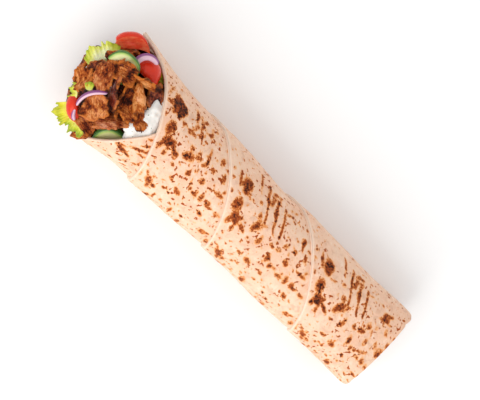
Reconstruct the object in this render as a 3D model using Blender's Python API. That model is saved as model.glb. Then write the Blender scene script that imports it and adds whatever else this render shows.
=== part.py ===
"""Doner kebab rolled in flatbread: a spiral-rolled flatbread sleeve, open and
heaped at the mouth (-X), folded shut and flattened at the other end (+X),
lying on a narrow flat strip on its underside.

Sizes are in millimetres until mesh_object() turns them into metres.
"""

import math

import bmesh
import bpy
import numpy as np
from mathutils import Matrix, Vector

# --- Driving dimensions, mm -------------------------------------------------
END_X = 118.0            # closed end of the bread
SPINE_HEIGHT = 27.0      # height of the rolled body's middle line
WALL = 2.2               # thickness of the flatbread
LAYER_STEP = 1.9         # how far each turn's free edge stands proud
REST_CUT = 1.0           # how far the round underside is pressed flat
GAP = 0.3                # clearance between neighbouring pieces
END_LEAN = 0.2           # slope of the closed end, top set back
COLUMNS = 32             # facets round the bread
RIBBON_COLUMNS = 26      # facets a turn on the rolled layer

# Half-width and half-height of the inner bread layer at stations along X.
STATIONS = [-125, -111, -102, -92, -82, -73, -60, -33, 9, 33, 57, 82, 100, 110, 118]
HALF_WIDTH = [34.8, 33.2, 31.8, 30.6, 29.4, 28.8, 28.3, 28.0, 27.0, 27.7, 27.4, 26.9, 27.8, 28.9, 28.9]
HALF_HEIGHT = [34.0, 32.6, 31.4, 30.4, 29.4, 28.8, 28.3, 28.0, 27.4, 27.7, 27.2, 25.4, 22.6, 20.8, 19.6]

# Heap of filling: straight inside the bread, domed beyond the mouth.
DOME_START = -107.0
DOME_LENGTH = 24.0
DOME_RADIUS = 32.0
BLUNT = 2.6              # 2 is a round dome, more is blunter
CORE_DEPTH = 8.0         # how far the loose pieces stand over the core

# Direction the open mouth leans up: pieces are set out on the face seen there.
LEAN = math.radians(18.0)
FACE_ALONG = Vector((math.cos(LEAN), 0.0, math.sin(LEAN)))
FACE_ACROSS = Vector((0.0, 1.0, 0.0))
FACE_OUT = Vector((-math.sin(LEAN), 0.0, math.cos(LEAN)))

# --- Materials --------------------------------------------------------------
COLOURS = {
    "bread": ((0.86, 0.70, 0.52), 0.75),
    "meat": ((0.32, 0.11, 0.04), 0.45),
    "tomato": ((0.72, 0.06, 0.03), 0.30),
    "cucumber": ((0.42, 0.55, 0.20), 0.40),
    "onion": ((0.72, 0.42, 0.60), 0.35),
    "lettuce": ((0.50, 0.58, 0.10), 0.50),
    "sauce": ((0.90, 0.88, 0.84), 0.35),
}


def clear_scene():
    for item in list(bpy.data.objects):
        bpy.data.objects.remove(item, do_unlink=True)


def material(kind):
    found = bpy.data.materials.get(kind)
    if found:
        return found
    colour, roughness = COLOURS[kind]
    made = bpy.data.materials.new(kind)
    made.use_nodes = True
    shader = made.node_tree.nodes["Principled BSDF"]
    shader.inputs["Base Color"].default_value = (*colour, 1.0)
    shader.inputs["Roughness"].default_value = roughness
    shader.inputs["Metallic"].default_value = 0.0
    return made


# --- Mesh helpers -----------------------------------------------------------
def mesh_object(name, points, faces, kind):
    """A closed mesh, its points given in mm, with outward normals."""
    mesh = bpy.data.meshes.new(name)
    mesh.from_pydata([tuple(0.001 * c for c in p) for p in points], [], faces)
    made = bpy.data.objects.new(name, mesh)
    bpy.context.scene.collection.objects.link(made)
    mesh.materials.append(material(kind))
    tidy_mesh(made)
    return made


def tidy_mesh(piece):
    """Joins coincident points, keeps the largest body and turns faces outward."""
    work = bmesh.new()
    work.from_mesh(piece.data)
    bmesh.ops.remove_doubles(work, verts=work.verts, dist=2e-5)
    bmesh.ops.dissolve_degenerate(work, edges=work.edges, dist=1e-6)
    rims = [edge for edge in work.edges if edge.is_boundary]
    bmesh.ops.holes_fill(work, edges=rims, sides=8)
    bmesh.ops.triangulate(work, faces=work.faces)
    islands = sorted(face_islands(work), key=area_of, reverse=True)
    for island in islands[1:]:
        bmesh.ops.delete(work, geom=island, context="FACES")
    bmesh.ops.recalc_face_normals(work, faces=work.faces)
    if work.calc_volume(signed=True) < 0:
        bmesh.ops.reverse_faces(work, faces=work.faces)
    work.to_mesh(piece.data)
    work.free()


def face_islands(work):
    """The faces of each separate body in turn, bodies that only touch counted apart."""
    left = set(work.faces)
    while left:
        start = left.pop()
        body = [start]
        queue = [start]
        while queue:
            for edge in queue.pop().edges:
                for face in edge.link_faces:
                    if face in left:
                        left.discard(face)
                        body.append(face)
                        queue.append(face)
        yield body


def area_of(faces):
    return sum(face.calc_area() for face in faces)


def loft(loops):
    """Joins equal closed loops one after another and caps both ends."""
    count = len(loops[0])
    points = [p for loop in loops for p in loop]
    faces = []
    for row in range(len(loops) - 1):
        for col in range(count):
            step = (col + 1) % count
            faces.append((row * count + col, row * count + step,
                          (row + 1) * count + step, (row + 1) * count + col))
    faces.append(tuple(range(count)))
    last = (len(loops) - 1) * count
    faces.append(tuple(range(last + count - 1, last - 1, -1)))
    return points, faces


def grown_copy(piece, distance):
    """A copy of the piece with every point moved outward."""
    work = bmesh.new()
    work.from_mesh(piece.data)
    work.normal_update()
    shifts = [v.normal * distance * 0.001 for v in work.verts]
    for vert, shift in zip(work.verts, shifts):
        vert.co += shift
    mesh = bpy.data.meshes.new("grown")
    work.to_mesh(mesh)
    work.free()
    made = bpy.data.objects.new("grown", mesh)
    bpy.context.scene.collection.objects.link(made)
    return made


def boxes_meet(one, two):
    pad = GAP * 0.002
    a = np.array([v.co for v in one.data.vertices])
    b = np.array([v.co for v in two.data.vertices])
    return bool(np.all(a.min(0) - pad < b.max(0)) and np.all(b.min(0) - pad < a.max(0)))


def boolean(piece, other, operation):
    """Applies one exact Boolean and removes the other object."""
    modifier = piece.modifiers.new("cut", "BOOLEAN")
    modifier.operation = operation
    modifier.solver = "EXACT"
    modifier.object = other
    graph = bpy.context.evaluated_depsgraph_get()
    mesh = bpy.data.meshes.new_from_object(piece.evaluated_get(graph))
    piece.modifiers.clear()
    old = piece.data
    mesh.name = piece.name
    piece.data = mesh
    bpy.data.meshes.remove(old)
    bpy.data.objects.remove(other, do_unlink=True)
    tidy_mesh(piece)


def carve(piece, neighbours):
    """Cuts the neighbours out of the piece, leaving the clearance all round."""
    for other in neighbours:
        if boxes_meet(piece, other):
            boolean(piece, grown_copy(other, GAP), "DIFFERENCE")


# --- Flatbread --------------------------------------------------------------
def section(x, phi, inset, lean=0.0):
    """A point of the bread's cross-section: phi 0 on top, 90 degrees at +Y."""
    half_width = np.interp(x, STATIONS, HALF_WIDTH) - inset
    half_height = np.interp(x, STATIONS, HALF_HEIGHT)
    middle = half_height - REST_CUT
    half_height = half_height - inset
    power = 1.0 - 0.22 * np.interp(x, [60, END_X], [0, 1])
    sine = math.sin(phi)
    cosine = math.cos(phi)
    y = half_width * math.copysign(abs(sine) ** power, sine)
    rise = half_height * math.copysign(abs(cosine) ** power, cosine)
    return (x - lean * rise, y, middle + rise)


def collar_rim(phi):
    """X of the inner layer's free edge: cut back to a notch on the upper side."""
    angles = [-180, -120, -90, -60, -30, -5, 10, 35, 60, 90, 130, 180]
    edge = [-111, -109, -105.5, -98.5, -88.5, -79.5, -77, -83, -92, -104, -110, -111]
    return float(np.interp(math.degrees(phi), angles, edge))


def seam_x(turn):
    """X of the rolled layer's free edge after this many turns."""
    phi = -2 * math.pi * turn
    centre = -85.4 + 55.9 * (turn - 1) + 7.05 * (turn - 1) * (turn - 2)
    corner = 13.0 * math.exp(-((turn - 0.765) / 0.05) ** 2)
    return centre - 8.0 * math.sin(phi) + 6.0 * math.cos(phi) - corner


def sleeve():
    """The inner layer: a tube with a notched mouth, a pressed closed end and a bore."""
    outer = [-60, -40, -20, 0, 20, 40, 60, 78, 92, 104, 112]
    inner = [-60, -30, 0, 30, 60, 85, 104, 110]
    loops = []
    loops.append([(x, y * 0.3, 19 + (z - 19) * 0.3) for x, y, z in ring(inner[-1], 4.0)])
    for x in reversed(inner):
        loops.append(ring(x, WALL))
    for part in (0.66, 0.33, 0.0):
        loops.append(mouth_ring(part, WALL))
    for part in (0.0, 0.33, 0.66):
        loops.append(mouth_ring(part, 0.0))
    for x in outer:
        loops.append(ring(x, 0.0, END_LEAN * max(0.0, (x - 90) / 28)))
    for back, inset in ((2.6, 0.8), (0.8, 2.6), (0.0, 5.5)):
        loops.append(ring(END_X - back, inset, END_LEAN))
    loops.append([(END_X - 1.5, y * 0.5, 18.6 + (z - 18.6) * 0.5) for x, y, z in loops[-1]])
    points, faces = loft(loops)
    return mesh_object("flatbread", points, faces, "bread")


def ring(x, inset, lean=0.0):
    return [section(x, angle, inset, lean) for angle in angles_round()]


def mouth_ring(part, inset):
    """Rings between the notched rim (part 0) and the body (part 1)."""
    return [section(collar_rim(a) * (1 - part) - 60 * part, a, inset) for a in angles_round()]


def angles_round():
    return [2 * math.pi * i / COLUMNS - math.pi for i in range(COLUMNS)]


def rolled_layer():
    """The outer layer: a wide strip wound round the sleeve, proud at its mouth side."""
    first, last = 0.5, 3.8
    columns = int((last - first) * RIBBON_COLUMNS)
    loops = []
    for i in range(columns + 1):
        turn = first + (last - first) * i / columns
        phi = math.remainder(-2 * math.pi * turn, 2 * math.pi)
        near = seam_x(turn)
        far = seam_x(turn + 1) - 0.5
        start_fade = min(1.0, (turn - first) / 0.12)
        loop = []
        for q in (0.0, 0.33, 0.66, 1.0):
            x = min(near + q * (far - near), END_X - 5)
            end_fade = min(1.0, max(0.0, (END_X - 4 - x) / 20))
            proud = 0.25 + (LAYER_STEP - 0.25) * (1 - q) * start_fade * end_fade
            loop.append(section(x, phi, -proud))
        for q in (1.0, 0.5, 0.0):
            x = min(near + q * (far - near), END_X - 5)
            loop.append(section(x, phi, 0.9))
        loops.append(loop)
    points, faces = loft(loops)
    return mesh_object("layer", points, faces, "bread")


def rest_block():
    """A block under the ground plane, cutting the flat resting strip."""
    low, high = (-200, -60, -20), (200, 60, 0)
    corners = [(x, y, z) for x in (low[0], high[0]) for y in (low[1], high[1]) for z in (low[2], high[2])]
    faces = [(0, 1, 3, 2), (4, 6, 7, 5), (0, 4, 5, 1), (2, 3, 7, 6), (0, 2, 6, 4), (1, 5, 7, 3)]
    return mesh_object("block", corners, faces, "bread")


def make_flatbread():
    bread = sleeve()
    boolean(bread, rolled_layer(), "UNION")
    boolean(bread, rest_block(), "DIFFERENCE")
    return bread


# --- Heap of filling --------------------------------------------------------
def heap_depth(point, inset=0.0):
    """Signed distance outside the heap's even outline."""
    x, y, z = point
    middle = float(np.interp(x, STATIONS, HALF_HEIGHT)) - REST_CUT
    if x > DOME_START:
        radius = float(np.interp(x, STATIONS, HALF_WIDTH)) - WALL - GAP
        return math.hypot(y, z - middle) - radius + inset
    forward = (DOME_START - x) * DOME_RADIUS / DOME_LENGTH
    reach = (forward ** BLUNT + math.hypot(y, z - middle) ** BLUNT) ** (1 / BLUNT)
    return reach - DOME_RADIUS + inset


def seat(along, across):
    """The point of the heap's outline at this place on the mouth's upper face."""
    base = FACE_ALONG * along + FACE_ACROSS * across + Vector((0, 0, SPINE_HEIGHT))
    heights = np.arange(95.0, 10.0, -0.25)
    depths = np.array([heap_depth(base + FACE_OUT * float(h)) for h in heights])
    inside = np.flatnonzero(depths <= 0)
    found = inside[0] if len(inside) else int(np.argmin(depths))
    point = base + FACE_OUT * float(heights[found])
    slope = [heap_depth(point + Vector(step)) - heap_depth(point - Vector(step))
             for step in ((0.5, 0, 0), (0, 0.5, 0), (0, 0, 0.5))]
    return point, Vector(slope).normalized()


def placing(along, across, turn, tip=0.0, pitch=0.0, lift=0.0, facing=0.0):
    """Frame on the heap: long axis turned in the face, then tipped and pitched (degrees)."""
    point, normal = seat(along, across)
    normal = (normal * (1 - facing) + FACE_OUT * facing).normalized()
    turn = math.radians(turn)
    direction = FACE_ALONG * math.cos(turn) + FACE_ACROSS * math.sin(turn)
    direction = (direction - normal * direction.dot(normal)).normalized()
    side = normal.cross(direction)
    frame = Matrix((direction, side, normal)).transposed().to_4x4()
    frame.translation = point + normal * lift
    tip_turn = Matrix.Rotation(math.radians(tip), 4, "X")
    pitch_turn = Matrix.Rotation(math.radians(pitch), 4, "Y")
    return frame @ tip_turn @ pitch_turn


def placed(frame, points):
    return [tuple(frame @ Vector(p)) for p in points]


def uneven(angle, seed, amount):
    """A smooth uneven factor round an outline."""
    rng = np.random.default_rng(seed)
    phases = rng.uniform(0, 2 * math.pi, 4)
    waves = [math.sin((k + 2) * angle + phases[k]) / (k + 1.6) for k in range(4)]
    return 1 + amount * sum(waves)


# --- Pieces -----------------------------------------------------------------
def loose_depth(phi, forward):
    """How deep the loose pieces lie over the core: most on the side the mouth leans up."""
    upward = math.cos(phi) * (1 - forward) * math.cos(LEAN) + forward * math.sin(LEAN)
    return 0.8 + (CORE_DEPTH - 0.8) * float(np.interp(upward, [-0.1, 0.3], [0.0, 1.0]))


def meat_core():
    """Doner meat packed through the bread, up to just under the loose pieces."""
    columns = 24
    bore = WALL + 2 * GAP + 0.4
    angles = [2 * math.pi * i / columns for i in range(columns)]
    loops = []
    for part in (0.08, 0.25, 0.45, 0.65, 0.85):
        out = math.sin(part * math.pi / 2) ** (2 / BLUNT)
        forward = math.cos(part * math.pi / 2) ** (2 / BLUNT)
        loop = []
        for phi in angles:
            scale = 1 - loose_depth(phi, forward) / DOME_RADIUS
            scale *= 1 + 0.03 * math.sin(4 * phi + 3 * part) * math.cos(7 * phi - 9 * part)
            x = DOME_START - DOME_LENGTH * forward * scale
            middle = float(np.interp(x, STATIONS, HALF_HEIGHT)) - REST_CUT
            reach = min(DOME_RADIUS * out * scale, math.dist(section(x, phi, bore)[1:], (0, middle)))
            loop.append((x, reach * math.sin(phi), middle + reach * math.cos(phi)))
        loops.append(loop)
    for x in (-110, -100, -90, -80, -70, -50, 0, 50, 80, 100, 107):
        middle = float(np.interp(x, STATIONS, HALF_HEIGHT)) - REST_CUT
        loose = float(np.interp(x, [-75, -55], [1.0, 0.0]))
        loop = []
        for phi in angles:
            across, height = section(x, phi, bore)[1:]
            reach = math.hypot(across, height - middle)
            scale = 1 - loose * (loose_depth(phi, 0.0) - 0.8) / reach
            loop.append((x, across * scale, middle + (height - middle) * scale))
        loops.append(loop)
    points, faces = loft(loops)
    return mesh_object("meat_core", points, faces, "meat")


def slice_of(name, kind, frame, length, width, thickness, curl=0.0, bow=0.0, ragged=0.12, seed=1):
    """A thin uneven slice: curl lifts its long edges, bow lifts its ends."""
    columns = 13
    rings = (0.6, 1.0)
    top = [(0.0, 0.0, thickness / 2)]
    bottom = [(0.0, 0.0, -thickness / 2)]
    for radius in rings:
        for i in range(columns):
            angle = 2 * math.pi * i / columns
            reach = radius * uneven(angle, seed, ragged)
            x = length / 2 * reach * math.cos(angle)
            y = width / 2 * reach * math.sin(angle)
            rise = curl * (2 * y / width) ** 2 + bow * (2 * x / length) ** 2
            half = thickness / 2 * (1 - 0.45 * radius ** 3)
            top.append((x, y, rise + half))
            bottom.append((x, y, rise - half))
    points = placed(frame, top + bottom)
    under = len(top)
    faces = []
    for i in range(columns):
        j = (i + 1) % columns
        faces.append((0, 1 + i, 1 + j))
        faces.append((under, under + 1 + j, under + 1 + i))
        inner, outer = 1, 1 + columns
        faces.append((inner + i, outer + i, outer + j, inner + j))
        faces.append((under + inner + j, under + outer + j, under + outer + i, under + inner + i))
        faces.append((outer + i, under + outer + i, under + outer + j, outer + j))
    return mesh_object(name, points, faces, kind)


def tomato_wedge(name, frame, length, height, width, start=-0.96):
    """A wedge: two flat cut faces meeting at an inner edge, and a round skin; start cuts it across."""
    loops = []
    for i in range(9):
        place = start + (0.96 - start) * i / 8
        size = math.sqrt(1 - place * place)
        skin = height * size
        inner = -0.15 * height * (1 - size)
        loop = [(0, inner), (0.5, 0.62 * skin), (0.36, 0.86 * skin), (0, skin),
                (-0.36, 0.86 * skin), (-0.5, 0.62 * skin)]
        loops.append([(length / 2 * place, y * width * size, z) for y, z in loop])
    points, faces = loft(loops)
    return mesh_object(name, placed(frame, points), faces, "tomato")


def cucumber_slice(name, frame, radius, thickness):
    """A round slice with slightly eased skin edges."""
    columns = 20
    loops = []
    for reach, height in ((0.5, 0.5), (0.94, 0.5), (1.0, 0.3), (1.0, -0.3), (0.94, -0.5), (0.5, -0.5)):
        loops.append([(radius * reach * math.cos(2 * math.pi * i / columns),
                       radius * reach * math.sin(2 * math.pi * i / columns),
                       thickness * height) for i in range(columns)])
    points, faces = loft(loops)
    return mesh_object(name, placed(frame, points), faces, "cucumber")


def onion_arc(name, frame, radius, width, thickness, sweep):
    """A curved strip from an onion ring, thicker in its middle."""
    loops = []
    count = 10
    for i in range(count):
        angle = math.radians(sweep) * (i / (count - 1) - 0.5)
        taper = 1 - 0.45 * abs(2 * i / (count - 1) - 1) ** 2
        loop = []
        for across, out in ((0.5, 0.25), (0.5, -0.25), (0.1, -0.5), (-0.5, -0.3), (-0.5, 0.3), (0.1, 0.5)):
            reach = radius + out * thickness * taper
            loop.append((reach * math.sin(angle), reach * math.cos(angle) - radius, across * width * taper))
        loops.append(loop)
    points, faces = loft(loops)
    return mesh_object(name, placed(frame, points), faces, "onion")


def lettuce_leaf(name, frame, length, width, ruffle, seed, thickness=1.3):
    """A crinkled leaf piece, its frilled margin (local +Y) waving up and down."""
    across, out = 9, 4
    rng = np.random.default_rng(seed)
    phase = rng.uniform(0, 2 * math.pi)
    top, bottom = [], []
    for row in range(out + 1):
        v = row / out
        for col in range(across + 1):
            u = 2 * col / across - 1
            frill = ruffle * v ** 1.5 * math.sin(7.5 * u + phase)
            arch = 0.18 * length * u * u
            x = length / 2 * u * (0.72 + 0.28 * v)
            y = width * (v - 0.5) * (1 - 0.22 * u * u) + 0.5 * frill
            centre = frill - arch
            half = thickness / 2 * (1 - 0.3 * v)
            top.append((x, y, centre + half))
            bottom.append((x, y, centre - half))
    under = len(top)
    faces = []
    width_count = across + 1
    for row in range(out):
        for col in range(across):
            a = row * width_count + col
            quad = (a, a + 1, a + 1 + width_count, a + width_count)
            faces.append(quad)
            faces.append(tuple(under + k for k in reversed(quad)))
    border = [c for c in range(across)]
    border += [r * width_count + across for r in range(out)]
    border += [out * width_count + c for c in range(across, 0, -1)]
    border += [r * width_count for r in range(out, 0, -1)]
    for a, b in zip(border, border[1:] + border[:1]):
        faces.append((b, a, under + a, under + b))
    return mesh_object(name, placed(frame, top + bottom), faces, "lettuce")


# Slices of meat: along, across, turn, tip, lift, facing, length, width, thickness, curl, bow.
MEAT_SLICES = [
    (-113.5, -6.3, -43, 4, 0.2, 0.4, 14.5, 14, 2.2, 1.3, 0.9),
    (-106.4, 1.7, -62, 6, 0.9, 0.4, 20, 12.5, 2.4, -1.0, -0.7),
    (-96.6, 0.1, -61, 62, -0.4, 0.3, 24, 9, 2.2, 0.4, -1.2),
    (-90.1, 0.0, -62, -26, -1.2, 0.4, 23, 15, 2.2, 3.6, 1.3),
    (-86.4, 6.2, -43, 10, 1.6, 0.5, 19, 7.5, 2.6, -1.0, -0.9),
    (-92.3, 13.7, 20, 68, 0.8, 0.5, 28, 7.5, 2.2, 0.4, -1.0),
    (-88.3, -13.0, 38, -40, 0.2, 0.4, 22, 9.5, 2.2, -0.9, -0.8),
    (-98.8, -13.2, -60, 6, 0.2, 0.3, 16, 18, 2.4, -1.3, 1.0),
    (-79.7, 13.3, -43, 10, -0.8, 0.4, 16, 10, 2.4, 0.8, -0.6),
    (-78.1, -1.3, -26, -14, -0.6, 0.5, 15, 9, 2.2, -0.7, 0.4),
    (-96.5, -23.3, -19, -34, -0.2, 0.3, 17, 8.5, 2.2, 0.5, -0.7),
    (-96.2, -29.0, 58, -10, 1.6, 0.5, 13, 5.0, 2.2, -0.2, 0.6),
    (-99.8, 11.0, 25, 14, 0.8, 0.5, 16, 13, 2.2, 1.3, -0.8),
    (-109.4, 13.1, 53, 12, 1.4, 0.4, 11, 9, 2.2, 0.9, 0.8),
    (-85.0, -4.0, -10, -14, 0.2, 0.4, 13, 9, 2.2, 1.2, -0.5),
    (-113.7, 3.2, 64, 24, -0.4, 0.3, 13, 7.5, 2.2, 0.5, -0.7),
]


def make_pieces():
    """Every loose piece, in the order in which they lie from the outside in."""
    pieces = [onion_arc("onion_2", placing(-105.1, -9.8, 64, 20, 0, 2.0, 0.3), 16, 3.6, 2.4, 72)]
    for i, row in enumerate(MEAT_SLICES):
        along, across, turn, tip, lift, facing, length, width, thickness, curl, bow = row
        frame = placing(along, across, turn, tip, 0, lift, facing)
        pieces.append(slice_of(f"meat_slice_{i + 1}", "meat", frame, length, width, thickness,
                               curl, bow, 0.10, 10 + i))
    pieces += [
        tomato_wedge("tomato_2", placing(-92.0, 20.6, 8, -12, 0, -8.2, 0.4), 21, 12, 13),
        onion_arc("onion_1", placing(-99.4, 23.4, 60, 10, 0, 1.2, 0.7), 7.2, 3.2, 3.6, 150),
        tomato_wedge("tomato_1", placing(-109.3, 23.9, 48, -58, 0, -3.2, 0.4), 22, 9.5, 12, -0.7),
        onion_arc("onion_3", placing(-105.0, -22.9, 130, 24, 0, 1.4, 0.3), 12, 4.4, 2.4, 36),
        cucumber_slice("cucumber_1", placing(-103.6, 12.4, 36, 34, 0, -2.8, 0.5), 9.6, 3.4),
        cucumber_slice("cucumber_2", placing(-80.4, -23.0, 45, 26, 0, -4.5, 0.6), 10.8, 3.6),
        tomato_wedge("tomato_3", placing(-107.1, -22.4, -50, 0, 0, -5.4, 0.2), 18, 8.5, 8),
        lettuce_leaf("lettuce_3", placing(-110.2, -27.0, 151, 0, 0, -0.6, 0.7), 13, 12, 1.4, 3),
        lettuce_leaf("lettuce_4", placing(-100.4, -28.0, -172, 0, 0, 0.2, 0.6), 12, 9, 1.2, 4),
        lettuce_leaf("lettuce_1", placing(-114.1, 8.2, 62, 6, 0, -2.4, 0.7), 21, 18, 1.5, 5),
        lettuce_leaf("lettuce_2", placing(-88.3, 25.8, 140, 20, 0, 0.4, 0.6), 17, 8, 1.2, 6),
        slice_of("sauce", "sauce", placing(-72.4, 0.4, 88, 0, 0, -2.2, 0.2), 31, 12, 4.0, -2.0, -3.0, 0.14, 40),
    ]
    return pieces


def finish(piece):
    piece.data.shade_smooth()
    piece.data.set_sharp_from_angle(angle=math.radians(50))


def build():
    clear_scene()
    bread = make_flatbread()
    core = meat_core()
    carve(core, [bread])
    pieces = make_pieces()
    for place in reversed(range(len(pieces))):
        carve(pieces[place], [bread, core] + pieces[:place])
    for piece in [bread, core] + pieces:
        finish(piece)


build()
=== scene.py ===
import math

import bmesh
import bpy
import numpy as np
from mathutils import Matrix, Vector


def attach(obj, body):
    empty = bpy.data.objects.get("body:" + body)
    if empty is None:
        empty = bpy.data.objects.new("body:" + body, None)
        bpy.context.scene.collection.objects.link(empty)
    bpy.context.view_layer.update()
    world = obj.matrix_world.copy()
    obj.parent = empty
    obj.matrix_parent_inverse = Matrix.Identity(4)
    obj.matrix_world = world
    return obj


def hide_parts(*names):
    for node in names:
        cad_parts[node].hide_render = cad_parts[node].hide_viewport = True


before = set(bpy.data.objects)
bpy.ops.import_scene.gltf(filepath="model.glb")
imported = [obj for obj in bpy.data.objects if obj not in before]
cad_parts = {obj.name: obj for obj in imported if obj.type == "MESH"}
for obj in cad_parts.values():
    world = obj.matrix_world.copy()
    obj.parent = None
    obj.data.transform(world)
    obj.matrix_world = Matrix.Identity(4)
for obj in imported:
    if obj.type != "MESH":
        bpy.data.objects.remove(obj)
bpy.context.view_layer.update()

# Doner kebab rolled in flatbread, lying on its side. Sizes are in millimetres until solid() stores
# a piece in metres. X runs along the wrap: the open mouth is at -X and the closed end at +X.

# --- Flatbread -----------------------------------------------------------------------------------
# One round of soft wheat dough, rolled thin and baked on a hot plate, which scorches it in spots.
# It is wound in a spiral round the filling: an inner layer, the sleeve, shows as a collar at the
# mouth and at the closed end, and the rolled layer over it shows its free edge once a turn.
END_X = 118.0
WALL = 2.2
REST_CUT = 1.0
LAYER_STEP = 1.5
END_LEAN = 0.2
MIDDLE_Z = 27.0          # height of the wrap's middle line
MM_A_DEGREE = 0.48       # round the rolled layer
SLEEVE_MM_A_DEGREE = 0.5
DEEPEST_BURN = 1.15
STATIONS = np.array([-125, -111, -102, -92, -82, -73, -60, -33, 9, 33, 57, 82, 100, 110, 118.0])
HALF_WIDTH = np.array([34.8, 33.2, 31.8, 30.6, 29.4, 28.8, 28.3, 28.0,
                       27.0, 27.7, 27.4, 26.9, 27.8, 28.9, 28.9])
HALF_HEIGHT = np.array([34.0, 32.6, 31.4, 30.4, 29.4, 28.8, 28.3, 28.0,
                        27.4, 27.7, 27.2, 25.4, 22.6, 20.8, 19.6])


def together(*parts):
    """Arrays and numbers spread to one shape and laid side by side, as the x, y and z of points."""
    return np.stack(np.broadcast_arrays(*parts), -1)


def eased(x, sizes):
    """Size at x: the stations' straight lines averaged over 9 mm, which rounds their corners."""
    return sum(np.interp(x + shift, STATIONS, sizes) for shift in (-4.5, -2.2, 0, 2.2, 4.5)) / 5


def lumps(points, size, seed=0):
    """Value noise from -1 to 1: random numbers on a lattice `size` apart, eased between its corners."""
    cell = np.floor(points / size).astype(np.int64)
    ease = points / size - cell
    ease = ease * ease * (3 - 2 * ease)
    total = np.zeros(points.shape[:-1])
    for corner in np.ndindex(2, 2, 2):
        at = cell + np.array(corner)
        mixed = at[..., 0] * 374761393 + at[..., 1] * 668265263 + at[..., 2] * 1274126177 + seed * 974711
        mixed = mixed & 0xFFFFFFFF
        mixed = ((mixed ^ (mixed >> 13)) * 1103515245) & 0xFFFFFFFF
        mixed = ((mixed ^ (mixed >> 15)) * 668265261) & 0xFFFFFFFF
        share = np.where(np.array(corner, bool), ease, 1 - ease).prod(-1)
        total += share * ((mixed ^ (mixed >> 16)) / 0xFFFFFFFF)
    return 2 * total - 1


def bread_point(x, phi, inset, lean=0.0):
    """Point at angle phi (0 on top, 90 degrees at +Y) of a section that is a circle squashed to the
    half-width and half-height at x, pressed flat underneath; towards the closed end it is squarer and
    its two corners are drawn out."""
    power = 1 - 0.22 * np.interp(x, [60, END_X], [0, 1]) - 0.16 * np.interp(x, [104, END_X], [0, 1])
    half_height = eased(x, HALF_HEIGHT)
    sine, cosine = np.sin(phi), np.cos(phi)
    y = (eased(x, HALF_WIDTH) - inset) * np.sign(sine) * np.abs(sine) ** power
    rise = (half_height - inset) * np.sign(cosine) * np.abs(cosine) ** power
    z = np.maximum(half_height - REST_CUT + rise, 0.0)
    ears = 3.4 * np.interp(x, [98, END_X], [0, 1]) ** 2 * sine ** 4
    return together(x - lean * rise + ears, y, z)


def uneven(points, scorch):
    """Soft dough is never even: broad waves, a gentle ripple and small blisters that stand highest
    where it scorched, pushed outward from the wrap's middle line, and nothing where it rests."""
    broad = 0.22 * np.minimum(scorch, 1.2) + 0.55 * lumps(points, 26, 1)
    broad = broad + 0.22 * lumps(points, 9, 2) + 0.10 * lumps(points, 3.2, 3)
    outward = points - together(points[..., 0], 0, MIDDLE_Z)
    outward /= np.maximum(np.linalg.norm(outward, axis=-1, keepdims=True), 1.0)
    free = np.clip(points[..., 2:] / 4.0, 0, 1)
    return points + outward * broad[..., None] * free


def collar_rim(phi):
    """X of the inner layer's free edge: it runs back to a notch on the upper side."""
    angles = [-180, -120, -90, -60, -30, -5, 10, 35, 60, 90, 130, 180]
    edge = [-111, -109, -105.5, -98.5, -88.5, -79.5, -77, -83, -92, -104, -110, -111]
    degrees = np.degrees(phi)
    return sum(np.interp(degrees + s, angles, edge, period=360) for s in (-6, -3, 0, 3, 6)) / 5


def seam_x(turn):
    """X of the rolled layer's free edge after this many turns: a helix with a widening pitch, drawn
    towards the mouth on one side, and a corner of the dough standing out at the rim."""
    phi = -2 * np.pi * turn
    centre = -85.4 + 55.9 * (turn - 1) + 7.05 * (turn - 1) * (turn - 2)
    corner = 13.0 * np.exp(-((turn - 0.765) / 0.05) ** 2)
    return centre - 8.0 * np.sin(phi) + 6.0 * np.cos(phi) - corner


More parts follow.
